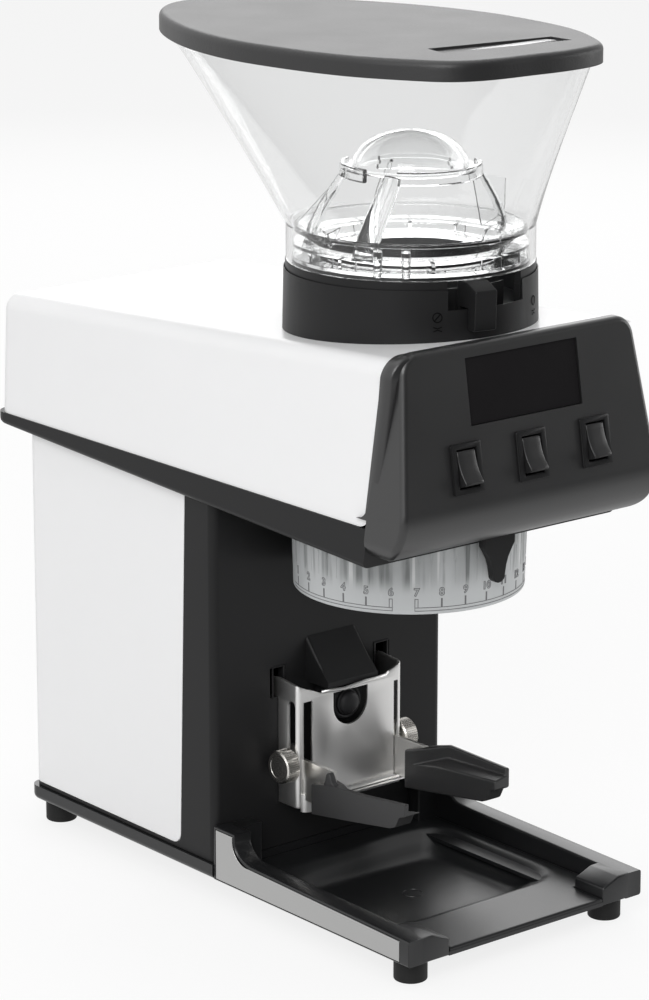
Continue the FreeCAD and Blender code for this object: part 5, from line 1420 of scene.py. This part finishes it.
@dataclass
class Hopper:
    """Clear hopper with its lid, guard, base ring, collar and shutter."""

    wall: float = 2.4
    wall_steps: int = 14
    neck_radius: float = 57.3
    neck_low: float = 314.15
    neck_top: float = 331.0
    neck_ease: float = 0.6
    flare_start: float = 0.008
    rim_z: float = 409.0
    rim_share: float = 0.962
    lid_half: float = 77.3
    lid_length: float = 247.2
    lid_front: float = 0.3
    across: tuple[float, ...] = (
        0.0, 0.36, 0.575, 0.73, 0.86, 0.945, 0.99, 1.0, 0.965, 0.885, 0.77, 0.655, 0.485, 0.26)
    along: tuple[float, ...] = (
        0.0, 0.005, 0.031, 0.096, 0.177, 0.274, 0.383, 0.465, 0.565, 0.667, 0.76, 0.832, 0.913, 0.978)
    fineness: int = 6
    # Outline, height and size of the plate that carries the painted reflection in the grip recess.
    strip_outline: Profile = (
        (-25.0, 26.6), (38.5, 32.2), (37.5, 36.6), (32.0, 37.2), (-6.0, 34.2), (-22.0, 31.0))
    strip_z: float = 415.95
    strip_thick: float = 0.8
    strip_edge: float = 0.1
    dome_radius: float = 26.8
    dome_low: float = 357.6
    dome_top: float = 373.8
    dome_wall: Flat = (1.7, 1.5)
    dome_tip: Flat = (0.6, 0.3)
    dome_steps: int = 12
    dome_foot: Profile = ((29.6, 356.0), (29.6, 357.6))
    rim_radius: float = 31.4
    rim_step_deg: float = 5.0
    rim_middle: float = 356.0
    rim_section: Profile = (
        (-1.3, -2.6), (-0.8, -3.1), (0.8, -3.1), (1.3, -2.6), (1.3, 2.6), (0.8, 3.1), (-0.8, 3.1),
        (-1.3, 2.6))
    rims: Profile = ((-150.0, -82.0), (-52.0, 66.0), (100.0, 170.0))
    legs: tuple[Span, ...] = (
        (-56.0, -10.0, 5.0, 2.2), (-112.0, -6.0, 3.6, 2.0), (66.0, 8.0, 3.6, 2.0), (158.0, 4.0, 1.2, 1.0))
    leg_path: tuple[Point, ...] = (
        (31.2, 0.0, 356.5), (33.2, 0.1, 353.0), (36.2, 0.3, 348.0), (41.6, 0.62, 339.0),
        (45.6, 0.86, 330.5), (47.6, 1.0, 321.5))
    leg_sizes: tuple[float, ...] = (0.8, 0.9, 1.0, 1.05, 1.1, 1.2)
    neck_rings: tuple[Profile, ...] = (
        ((53.6, 330.0), (52.0, 330.6), (43.0, 324.4), (40.2, 320.2), (40.2, 318.4), (42.0, 318.4),
         (44.6, 322.2), (52.2, 328.2), (53.6, 328.6)),
        ((54.2, 323.2), (45.0, 323.2), (45.0, 321.8), (54.2, 321.8)),
        ((54.2, 317.2), (42.0, 317.2), (42.0, 315.4), (54.2, 315.4)))
    ribs: tuple[float, ...] = (
        -150.0, -120.0, -96.0, -76.0, -30.0, 8.0, 22.0, 34.0, 46.0, 60.0, 84.0, 110.0, 140.0, 170.0)
    rib_reach: Flat = (42.5, 53.8)
    rib_height: Flat = (317.0, 322.2)
    rib_half: float = 0.9
    pins: tuple[float, ...] = (-57.0, -43.0)
    pin_radius: float = 51.4
    pin_profile: Profile = ((314.8, 1.5), (315.4, 1.9), (327.0, 2.2), (328.2, 1.9), (328.6, 1.2))
    fins: tuple[tuple[float, float, float, float, float], ...] = (
        (-118.0, 36.0, 350.0, 52.0, 333.0), (84.0, 34.0, 352.0, 53.0, 346.0),
        (-86.0, 44.0, 334.0, 52.0, 332.0))
    fin_reach: float = 53.0
    fin_lean: float = 6.0
    fin_low: Flat = (329.0, 325.0)
    fin_half_deg: float = 0.7
    notch: Flat = (-24.2, 18.5)
    notch_floor: float = 301.1
    notch_block: Point = (51.5, 62.0, 320.0)
    notch_under: float = 3.0
    notch_back: Span = (48.1, 48.9, 291.0, 309.0)
    notch_steps: int = 16
    solid_notch: float = -22.0
    solid_play: float = 0.3
    solid_floor: Flat = (289.0, 291.0)
    disc_reach: float = 54.0
    disc_top: float = 300.0
    lever_deg: float = -10.3
    lever_half: float = 5.6
    lever_side: Profile = (
        (49.0, 297.0), (50.5, 313.4), (58.4, 313.5), (66.2, 310.3), (66.6, 309.6), (65.9, 292.6),
        (65.2, 292.0), (60.4, 292.0), (60.0, 292.8), (60.0, 301.6), (53.0, 301.6), (52.0, 297.0))
    collar_low: float = 59.2
    collar_high: float = 58.4
    collar_foot: float = 287.0
    collar_height: float = 23.0
    mark_radius: float = 58.8
    mark_z: float = 298.2
    mark_ring: float = 2.1
    mark_line: Profile = ((0.21, 0.0), (0.0, 0.14), (-0.21, 0.0), (0.0, -0.14))
    mark_lift: float = 0.02
    marks_deg: Flat = (-29.0, 30.5)
    mark_bar: Profile = ((-1.5, 296.6), (1.5, 299.8))
    mark_bows: tuple[Profile, ...] = (
        ((-2.0, 293.9), (0.0, 293.2), (2.0, 293.9)), ((-2.0, 291.9), (0.0, 292.6), (2.0, 291.9)))

    def build(self) -> None:
        """Make and dress the hopper."""
        self.shell()
        softened("hopper_lid", Finish.LID, "lid", 0.3)
        self.strip()
        self.guard()
        self.neck()
        self.marks()
        self.carrier_ring()
        self.sector(*self.notch_back).piece("notch_lining", Finish.COLLAR, "hopper", 0.15 * MM)
        self.shutter()
        form = Form().copy_of("hopper_collar").bent(self.renotched)
        form.piece("hopper_collar_form", Finish.COLLAR, "frame", 0.35 * MM, node="hopper_collar")

    def rim(self, share: float, grow: float) -> list[Flat]:
        """Boat-shaped outline of the lid.

        Args:
            share: Share of the lid's size.
            grow: How far it is moved outwards, in millimetres.

        Returns:
            The outline in millimetres, Y from the front edge.
        """
        middle = self.lid_front + self.lid_length / 2
        half_length, half_width = self.lid_length / 2 * share, self.lid_half * share
        right = [(a * half_width, middle - half_length + b * 2 * half_length)
                 for a, b in zip(self.across, self.along)]
        left = [(-x, y) for x, y in reversed(right[1:])]
        return offset_loop(smooth_loop([*right, (0.0, middle + half_length), *left], self.fineness), grow)

    def circle(self, radius: float) -> list[Flat]:
        """Circle with as many points as the rim.

        Args:
            radius: Its radius in millimetres.

        Returns:
            The circle in millimetres, Y from the front edge.
        """
        count = 2 * len(self.across) * self.fineness
        turns = [TURN * i / count for i in range(count)]
        return [(radius * math.sin(t), AXIS_FROM_FRONT - radius * math.cos(t)) for t in turns]

    def wall_rows(self, inset: float) -> list[list[Point]]:
        """Outlines of one side of the wall from the foot to the rim.

        Args:
            inset: How far the side lies inside the outer one.

        Returns:
            The outlines as points.
        """
        low, high = self.circle(self.neck_radius - inset), self.rim(self.rim_share, -inset)
        rows = [[at(x, y, z) for x, y in low] for z in (self.neck_low, self.neck_top - self.neck_ease)]
        for i in range(self.wall_steps + 1):
            t = max(i / self.wall_steps, self.flare_start)
            z = self.neck_top + (self.rim_z - self.neck_top) * t
            rows.append([at(a[0] + (b[0] - a[0]) * t, a[1] + (b[1] - a[1]) * t, z)
                         for a, b in zip(low, high)])
        return rows

    def shell(self) -> None:
        """Clear wall that flares from a round neck to the lid's outline."""
        form = Form().rings(self.wall_rows(0.0) + self.wall_rows(self.wall)[::-1], looped=True)
        form.piece("hopper_wall", Finish.CLEAR, "hopper", smooth_deg=30.0, node="hopper_shell")

    def strip(self) -> None:
        """Painted reflection in the lid's grip recess: a thin plate of the lid's plastic in pale grey,
        standing for the bright sheen on the recess's slanted inner face.
        """
        outline = [at(x, y, 0)[:2] for x, y in self.strip_outline]
        form = Form().plate(outline, [], self.strip_thick * MM, self.strip_edge * MM)
        form.raised(self.strip_z * MM).piece("lid_recess_reflection_plate", Finish.STRIP, "lid")

    def guard(self) -> None:
        """Clear finger guard: a dome in a broken rim on thick bent legs."""
        form = Form()
        rise = self.dome_top - self.dome_low
        outer = [(self.dome_radius * math.cos(t), self.dome_low + rise * math.sin(t))
                 for t in (TURN / 4 * i / self.dome_steps for i in range(self.dome_steps))]
        outer.append((self.dome_tip[0], self.dome_top))
        thick, deep = self.dome_wall
        inner = [(max(r - thick, self.dome_tip[1]), z - deep) for r, z in reversed(outer)]
        form.turned([*outer, *inner, *self.dome_foot], 72)
        for start, end in self.rims:
            count = int((end - start) / self.rim_step_deg)
            path = [polar(self.rim_radius, start + (end - start) * i / count, self.rim_middle)
                    for i in range(count + 1)]
            form.join(Form().swept(path, in_metres(self.rim_section)))
        oval = arc((0.0, 0.0), 1.0, 0, 360, 14)[:-1]
        for angle, lean, wide, deep in self.legs:
            path = [polar(r, angle + lean * share, z) for r, share, z in self.leg_path]
            way = (math.cos(math.radians(angle)), math.sin(math.radians(angle)), 0.0)
            section = in_metres([(y * deep, x * wide) for x, y in oval])
            form.join(Form().swept(path, section, up=way, sizes=self.leg_sizes))
        form.piece("finger_guard_form", Finish.CLEAR, "hopper", smooth_deg=40.0, node="finger_guard")

    def neck(self) -> None:
        """Clear rings, ribs, pins and thin fins in the hopper's neck."""
        form = Form()
        for profile in self.neck_rings:
            form.turned(profile)
        (near, far), (low, high) = self.rib_reach, self.rib_height
        for angle in self.ribs:
            base = [polar(r, angle + math.degrees(k * self.rib_half / r), low)
                    for r, k in ((near, -1), (far, -1), (far, 1), (near, 1))]
            form.pushed(base, (0.0, 0.0, (high - low) * MM))
        for angle in self.pins:
            x, y, _ = polar(self.pin_radius, angle, 0.0)
            form.rings(spun(self.pin_profile, 20, lambda z, a, b: (x + a * MM, y + b * MM, z * MM)))
        for angle, r0, z0, r1, z1 in self.fins:
            outline = ((r0, z0), (r1, z1), (min(r1 + 1, self.fin_reach), self.fin_low[0]),
                       (r0 + self.fin_lean, self.fin_low[1]))
            form.rings([[polar(r, side, z) for r, z in outline]
                        for side in (angle - self.fin_half_deg, angle + self.fin_half_deg)])
        form.piece("hopper_neck_rings", Finish.CLEAR, "hopper", 0.25 * MM, 2)

    def sector(self, inner: float, outer: float, low: float, high: float) -> Form:
        """Block over the notch's angle.

        Args:
            inner: Inner radius in millimetres.
            outer: Outer radius in millimetres.
            low: Lower height in millimetres.
            high: Upper height in millimetres.

        Returns:
            The block.
        """
        start, end = self.notch
        angles = [start + (end - start) * i / self.notch_steps for i in range(self.notch_steps + 1)]
        corners = ((inner, low), (outer, low), (outer, high), (inner, high))
        return Form().rings([[polar(r, angle, z) for r, z in corners] for angle in angles])

    def carrier_ring(self) -> None:
        """Black ring under the clear hopper, open over the notch."""
        inner, outer, high = self.notch_block
        form = Form().copy_of("hopper_base")
        form.combined(self.sector(inner, outer, self.notch_floor - self.notch_under, high), Cut.TAKE)
        form.piece("hopper_base_form", Finish.COLLAR, "hopper", 0.3 * MM, node="hopper_base")

    def renotched(self, point: Point) -> Point:
        """Move a point of the collar's notch, which is shallower than the ring behind it.

        Args:
            point: The point in the solid's notch.

        Returns:
            Its place in the shown notch.
        """
        x, y, z = point
        if z < self.solid_floor[0] * MM:
            return point
        if abs(math.degrees(math.atan2(x, AXIS_Y - y)) - self.solid_notch) < self.solid_play:
            x, y, _ = polar(math.hypot(x, AXIS_Y - y) / MM, self.notch[0], 0.0)
        return (x, y, self.notch_floor * MM if z < self.solid_floor[1] * MM else z)

    def drawn_in(self, point: Point) -> Point:
        """Draw the solid shutter's lever in to the disc.

        Args:
            point: A point of the solid.

        Returns:
            Its place in the shown disc.
        """
        away = math.hypot(point[0], point[1] - AXIS_Y)
        if away <= self.disc_reach * MM:
            return point
        share = self.disc_reach * MM / away
        return (point[0] * share, AXIS_Y + (point[1] - AXIS_Y) * share, min(point[2], self.disc_top * MM))

    def shutter(self) -> None:
        """Shutter disc with the tall lever that leans over the collar."""
        middle = math.radians(self.lever_deg)
        across = Vector((math.cos(middle), math.sin(middle), 0.0)) * (self.lever_half * MM)
        outline = [tuple(Vector(polar(r, self.lever_deg, z)) - across) for r, z in self.lever_side]
        lever = Form().pushed(outline, tuple(across * 2)).evened()
        form = Form().copy_of("bean_shutter").bent(self.drawn_in).join(lever)
        form.piece("bean_shutter_form", Finish.COLLAR, "shutter", 0.5 * MM, 3, clamped=False,
                   node="bean_shutter")

    def on_collar(self, spot: Point) -> Point:
        """Place on the collar's skin.

        Args:
            spot: Distance round from the front in millimetres, height and lift.

        Returns:
            The point in the rest frame.
        """
        share = (spot[1] - self.collar_foot) / self.collar_height
        radius = self.collar_low + (self.collar_high - self.collar_low) * share
        return polar(radius + spot[2], math.degrees(spot[0] / radius), spot[1])

    def marks(self) -> None:
        """Signs on the collar beside the lever: closed to the left, open to the right."""
        form = Form()
        ring = arc((0.0, self.mark_z), self.mark_ring, 0, 360, 24)
        for angle, bars in zip(self.marks_deg, ((self.mark_bar,), ())):
            middle = math.radians(angle) * self.mark_radius
            for stroke in (ring, *bars, *self.mark_bows):
                form.join(Form().swept([(middle + x, z, self.mark_lift) for x, z in stroke], self.mark_line))
        form.bent(self.on_collar).piece("collar_marks", Finish.SIGN, "frame")


@dataclass
class ScaleRing:
    """Numbered adjustment ring with raised figures, ticks and a double line."""

    low_radius: float = 54.1
    high_radius: float = 55.1
    low: float = 159.4
    height: float = 37.8
    pitch_deg: float = 12.35
    front_number: int = 10
    first: int = 1
    last: int = 14
    gap_after: int = 6
    figure_height: float = 3.7
    figure_middle: float = 10.9
    figure_lift: float = 0.03
    tick_top: float = 7.6
    rails: Flat = (1.7, 3.2)
    line: float = 0.3
    tick_half_deg: float = 0.42
    open_half_deg: float = 0.75
    lift: float = 0.1
    rib_count: int = 60
    rib_half_deg: float = 0.16
    rib_span: Flat = (14.0, 25.0)

    def build(self) -> None:
        """Make and dress the ring."""
        softened("adjustment_ring", Finish.RING, "adjustment_ring", 0.5, 3)
        for name, make, finish in (("figures", self.figures, Finish.INK), ("scale", self.scale, Finish.INK),
                                   ("ribs", self.ribs, Finish.RING)):
            make().bent(self.on_ring).piece("ring_" + name, finish, "adjustment_ring")

    def on_ring(self, spot: Point) -> Point:
        """Place on the ring's skin of an angle, a height over its lower edge and a lift off it."""
        radius = self.low_radius + (self.high_radius - self.low_radius) * spot[1] / self.height + spot[2]
        return polar(radius, spot[0], self.low + spot[1])

    def angle(self, number: float) -> float:
        """Angle of a number from the front in degrees, growing to the right."""
        return (number - self.front_number) * self.pitch_deg

    def figures(self) -> Form:
        """Outlined numbers, laid out flat in degrees and millimetres.

        Returns:
            The numbers.
        """
        form = Form()
        degrees = math.degrees(1 / self.low_radius)
        for number in range(self.first, self.last + 1):
            flat = Form().letters(str(number), self.figure_height, self.line, (0.0, self.figure_middle))
            middle = self.angle(number)
            form.join(flat.bent(lambda p: (middle + p[0] * degrees, p[1], p[2] + self.figure_lift)))
        return form

    def stroke(self, form: Form, across: Flat, upright: Flat, steps: int = 1) -> None:
        """Add one flat stroke.

        Args:
            form: The form that gets it.
            across: Its first and last angle in degrees.
            upright: Its lower and upper height.
            steps: Number of steps round.
        """
        form.bar((across[0], upright[0], -self.lift), (across[1], upright[1], self.lift), steps)

    def scale(self) -> Form:
        """Ticks and the double line, open between two numbers.

        Returns:
            The ticks and lines.
        """
        form = Form()
        half_line = math.degrees(self.line / self.low_radius) / 2
        top, wide, narrow = self.tick_top, self.open_half_deg, self.tick_half_deg
        for number in range(self.first, self.last + 1):
            middle = self.angle(number)
            if number in (self.gap_after, self.gap_after + 1):
                inner = wide if number == self.gap_after else -wide
                for x, low in zip((middle + inner, middle - inner), self.rails):
                    self.stroke(form, (x - half_line, x + half_line), (low, top))
                self.stroke(form, (middle - wide, middle + wide), (top - self.line, top), 2)
            else:
                self.stroke(form, (middle - narrow, middle + narrow), (self.rails[1], top))
        for start, end in ((self.angle(self.first - 0.5), self.angle(self.gap_after) + wide),
                           (self.angle(self.gap_after + 1) - wide, self.angle(self.last + 0.5))):
            for z in self.rails:
                self.stroke(form, (start, end), (z, z + self.line), int((end - start) / 2))
        return form

    def ribs(self) -> Form:
        """Fine upright ribs that run down from the grip grooves.

        Returns:
            The ribs.
        """
        form = Form()
        for i in range(self.rib_count):
            angle = 360 * i / self.rib_count
            self.stroke(form, (angle - self.rib_half_deg, angle + self.rib_half_deg), self.rib_span)
        return form


@dataclass
class Fork:
    """Steel bracket, fork, thumb screws, hood and start button."""

    plate_y: float = 128.2
    sheet: float = 1.5
    sheet_edge: float = 0.25
    flat_half: float = 30.1
    bend_radius: float = 2.5
    bend_cuts: int = 6
    flange: float = 12.6
    low: float = 42.0
    hook: float = 5.2
    hook_levels: Span = (94.4, 95.4, 104.0, 104.6)
    upper_edge: Profile = ((32.1, 103.4), (27.0, 101.0), (24.0, 100.0), (19.5, 98.0), (17.5, 97.4))
    notch_half: float = 10.6
    notch_low: float = 78.4
    notch_top: float = 96.0
    slots: tuple[Span, ...] = ((-29.0, -23.6, 46.5, 94.8), (27.4, 29.8, 46.5, 94.4))
    flange_slot: Flat = (60.5, 95.0)
    flange_slot_half: float = 2.6
    edge_radius: float = 0.7
    brow: tuple[Point, ...] = (
        (-17.5, 128.6, 97.9), (-15.4, 126.6, 98.6), (-11.5, 125.4, 98.6), (-6.0, 125.2, 98.2),
        (0.0, 124.9, 98.9), (6.0, 124.8, 99.5), (14.0, 125.3, 99.3), (20.0, 126.2, 99.3),
        (23.5, 128.6, 99.6))
    brow_size: Flat = (1.2, 1.3)
    lips: Profile = ((46.4, 3.2), (44.0, 1.4))
    lip_path: Profile = ((-22.0, 0.0), (-20.0, 1.0), (33.0, 1.0), (34.0, 0.0))
    lip_size: Flat = (1.3, 0.75)
    lip_behind: float = 0.2
    foot_x: float = -25.6
    foot_radius: float = 5.2
    foot_inner: float = 0.8
    foot_flat: float = 0.7
    foot_behind: float = 0.3
    foot_levels: tuple[float, ...] = (40.4, 40.9, 48.6, 49.2)
    tab_x: float = -33.9
    tab_thick: float = 3.2
    tab: Profile = (
        (108.4, 59.5), (106.6, 62.6), (106.0, 65.8), (105.0, 67.0), (103.4, 66.9), (102.4, 65.4),
        (101.6, 63.0), (98.6, 61.6), (98.6, 59.0), (108.4, 58.0))
    knob_y: float = 133.2
    knob_z: float = 63.6
    knob: tuple[Point, ...] = (
        (33.1, 2.3, 0.0), (33.1, 7.15, 0.0), (33.8, 8.0, 0.3), (34.0, 8.15, 1.0), (40.1, 8.15, 1.0),
        (40.4, 8.0, 0.3), (41.0, 7.25, 0.0), (41.0, 5.6, 0.0), (40.85, 5.45, 0.0), (40.85, 0.05, 0.0))
    knurls: int = 46
    knurl_steps: int = 4
    knurl_depth: float = 0.42
    shank: Profile = ((28.0, 2.3), (33.4, 2.3))
    button_z: float = 89.0
    button: Profile = (
        (126.5, 0.05), (126.6, 1.6), (127.0, 3.4), (127.7, 4.8), (128.5, 5.5), (129.4, 5.75), (129.9, 5.8),
        (130.2, 6.3), (142.0, 6.3), (142.0, 0.05))
    button_ring: Profile = (
        (131.5, 6.75), (130.7, 7.0), (130.5, 7.6), (130.8, 8.3), (131.7, 8.8), (136.1, 9.0), (136.1, 6.75))
    slot_frame: Span = (27.2, 36.2, 94.3, 110.3)
    slot_frame_y: float = 143.5
    slot_frame_size: float = 0.7
    slot_frame_edge: float = 0.1

    def build(self) -> None:
        """Make and dress the fork's side of the column."""
        self.bracket()
        softened("fork_carrier", Finish.BLADE, "fork", 0.3)
        softened("fork_arm_left", Finish.FORK, "fork", 1.0, 3)
        softened("fork_arm_right", Finish.FORK, "fork", 1.0, 3)
        tab = Form().pushed([at(self.tab_x, y, z) for y, z in self.tab], (self.tab_thick * MM, 0.0, 0.0))
        tab.piece("fork_tab_left", Finish.FORK, "fork", 0.5 * MM, 3)
        for side, name in ((-1, "thumb_screw_left"), (1, "thumb_screw_right")):
            self.screw(side, name)
        softened("switch_hood", Finish.CASE, "frame", 1.0, 4)
        self.start()
        softened("start_switch", Finish.BUTTON, "frame", 0.4)
        self.slot_frames()

    @property
    def bend_middle(self) -> float:
        """Radius of the sheet's middle in a bend."""
        return self.bend_radius - self.sheet / 2

    @property
    def bend_length(self) -> float:
        """Length of the sheet's middle in a bend."""
        return self.bend_middle * math.pi / 2

    def bend(self, spot: Point) -> Point:
        """Place of a point of the flat pattern on the bent bracket.

        Args:
            spot: Length across from the middle, height, and depth from the sheet's middle to its front.

        Returns:
            The point in the rest frame.
        """
        u, z, w = spot
        side = 1 if u > 0 else -1
        past = abs(u) - self.flat_half
        if past <= 0:
            return at(u, self.plate_y + self.sheet / 2 - w, z)
        radius, rear = self.bend_middle + w, self.plate_y + self.bend_radius
        if past <= self.bend_length:
            angle = past / self.bend_middle
            return at(side * (self.flat_half + radius * math.sin(angle)), rear - radius * math.cos(angle), z)
        return at(side * (self.flat_half + radius), rear + past - self.bend_length, z)

    def pattern(self) -> tuple[list[Flat], list[list[Flat]]]:
        """Flat pattern of the bracket: its outline and its holes.

        Returns:
            The outline, and a list of the holes.
        """
        reach = self.flat_half + self.bend_length + self.flange
        a, b, c, d = self.hook_levels
        hook = ((reach, a), (reach + self.hook, b), (reach + self.hook, c), (reach, d))
        right = ((reach, self.low), *hook, *self.upper_edge)
        half, high = self.notch_half, self.notch_top
        holes = [[*arc((0.0, self.notch_low + half), half, 180, 360, 16), (half, high), (-half, high)]]
        holes += [[(x0, z0), (x1, z0), (x1, z1), (x0, z1)] for x0, x1, z0, z1 in self.slots]
        middle = reach - self.flange + self.knob_y - self.plate_y - self.bend_radius
        end, (z0, z1) = self.flange_slot_half, self.flange_slot
        for x in (-middle, middle):
            holes.append(arc((x, z1 - end), end, 0, 180, 8) + arc((x, z0 + end), end, 180, 360, 8))
        return mirrored(right), holes

    def bracket(self) -> None:
        """Steel bracket bent from one flat sheet, with a rolled brow, a lip and a foot."""
        form = Form().plate(*self.pattern(), self.sheet, self.sheet_edge)
        steps = [self.flat_half + self.bend_length * i / self.bend_cuts for i in range(self.bend_cuts + 1)]
        cuts = [side * step for side in (-1, 1) for step in steps]
        form.sliced(cuts).bent(self.bend)
        edge = arc((0.0, 0.0), self.edge_radius, 0, 330, 11)
        lips = [[(x, self.plate_y - reach if out else self.plate_y + self.lip_behind, z)
                 for x, out in self.lip_path] for z, reach in self.lips]
        for path, (wide, tall) in ((self.brow, self.brow_size), *((lip, self.lip_size) for lip in lips)):
            form.join(Form().swept(path, [(a * wide, b * tall) for a, b in edge]).bent(lambda p: at(*p)))
        foot = arc((0.0, 0.0), self.foot_radius, 180, 360, 15)
        outline = foot + [(x * self.foot_inner, y * self.foot_inner) for x, y in reversed(foot)]
        foot_y = self.plate_y + self.foot_behind
        form.rings([[at(self.foot_x + x, foot_y + y * self.foot_flat, z) for x, y in outline]
                    for z in self.foot_levels])
        form.piece("bracket_bent", Finish.SHEET, "frame", smooth_deg=40.0, node="bracket_plate")

    def screw(self, side: int, name: str) -> None:
        """Knurled thumb screw with a turned face.

        Args:
            side: -1 for the left one, 1 for the right one.
            name: The CAD node, which is also its body.
        """
        count = self.knurls * self.knurl_steps
        rows = []
        for x, radius, share in self.knob:
            row = []
            for angle in (TURN * i / count for i in range(count)):
                reach = radius - self.knurl_depth * share * (0.5 - 0.5 * math.cos(angle * self.knurls))
                row.append(at(side * x, self.knob_y + reach * math.cos(angle),
                              self.knob_z + reach * math.sin(angle)))
            rows.append(row)
        Form().rings(rows).piece(name + "_form", Finish.SCREW, name, smooth_deg=32.0, node=name)
        rows = spun(self.shank, 24, lambda x, a, b: at(side * x, self.knob_y + a, self.knob_z + b))
        Form().rings(rows).piece(name + "_shank", Finish.STEEL, name)

    def start(self) -> None:
        """Domed rubber button with a ring round its foot."""
        button, ring = (spun(profile, 64, lambda y, a, b: at(a, y, self.button_z + b))
                        for profile in (self.button, self.button_ring))
        Form().rings(button).piece("start_button_form", Finish.BUTTON, "start_button", smooth_deg=50.0,
                                   node="start_button")
        Form().rings(ring, looped=True).piece("start_ring", Finish.BUTTON, "frame", smooth_deg=40.0)

    def slot_frames(self) -> None:
        """Thin raised frames round the two slots that the hooks go into."""
        form = Form()
        x0, x1, z0, z1 = self.slot_frame
        size = self.slot_frame_size
        for left, right in ((-x1, -x0), (x0, x1)):
            outer, inner = ([(left + g, z0 + g), (right - g, z0 + g), (right - g, z1 - g), (left + g, z1 - g)]
                            for g in (0.0, size))
            form.join(Form().plate(outer, [inner], size, self.slot_frame_edge))
        form.bent(lambda p: at(p[0], self.slot_frame_y - p[2], p[1]))
        form.piece("slot_frames", Finish.CASE, "frame")


@dataclass
class Inside:
    """Everything behind the covers, dressed as it is."""

    finishes: dict[Finish, tuple[str, ...]] = field(default_factory=lambda: {
        Finish.STEEL: ("support_plate", "guide_pins", "motor_can", "motor_pinion", "lower_bearing",
                       "upper_bearing", "spindle", "burr_nut"),
        Finish.IRON: ("motor_rotor",),
        Finish.CAST: ("thrust_carrier", "grinder_housing"),
        Finish.BURR: ("ring_burr", "cone_burr"),
        Finish.GEAR: ("first_idler", "second_idler", "drive_gear"),
        Finish.INNER: ("gear_case", "gear_cover", "sweeper", "bean_throat", "grounds_chute", "outlet_funnel"),
        Finish.BOARD: ("control_board", "display_board"),
    })

    def build(self) -> None:
        """Dress the inner pieces."""
        for finish, nodes in self.finishes.items():
            for node in nodes:
                dress(NODES[node], finish)
                LOG.info("dressed %s", node)


def main() -> None:
    """Build the scene."""
    logging.basicConfig(level=logging.INFO, format="%(name)s: %(message)s")
    for part in (Studio(), Base(), Column(), Head(), Hopper(), ScaleRing(), Fork(), Inside()):
        part.build()
        LOG.info("built %s", type(part).__name__)
    bpy.context.view_layer.update()
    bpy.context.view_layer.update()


if __name__ == "__main__":
    main()
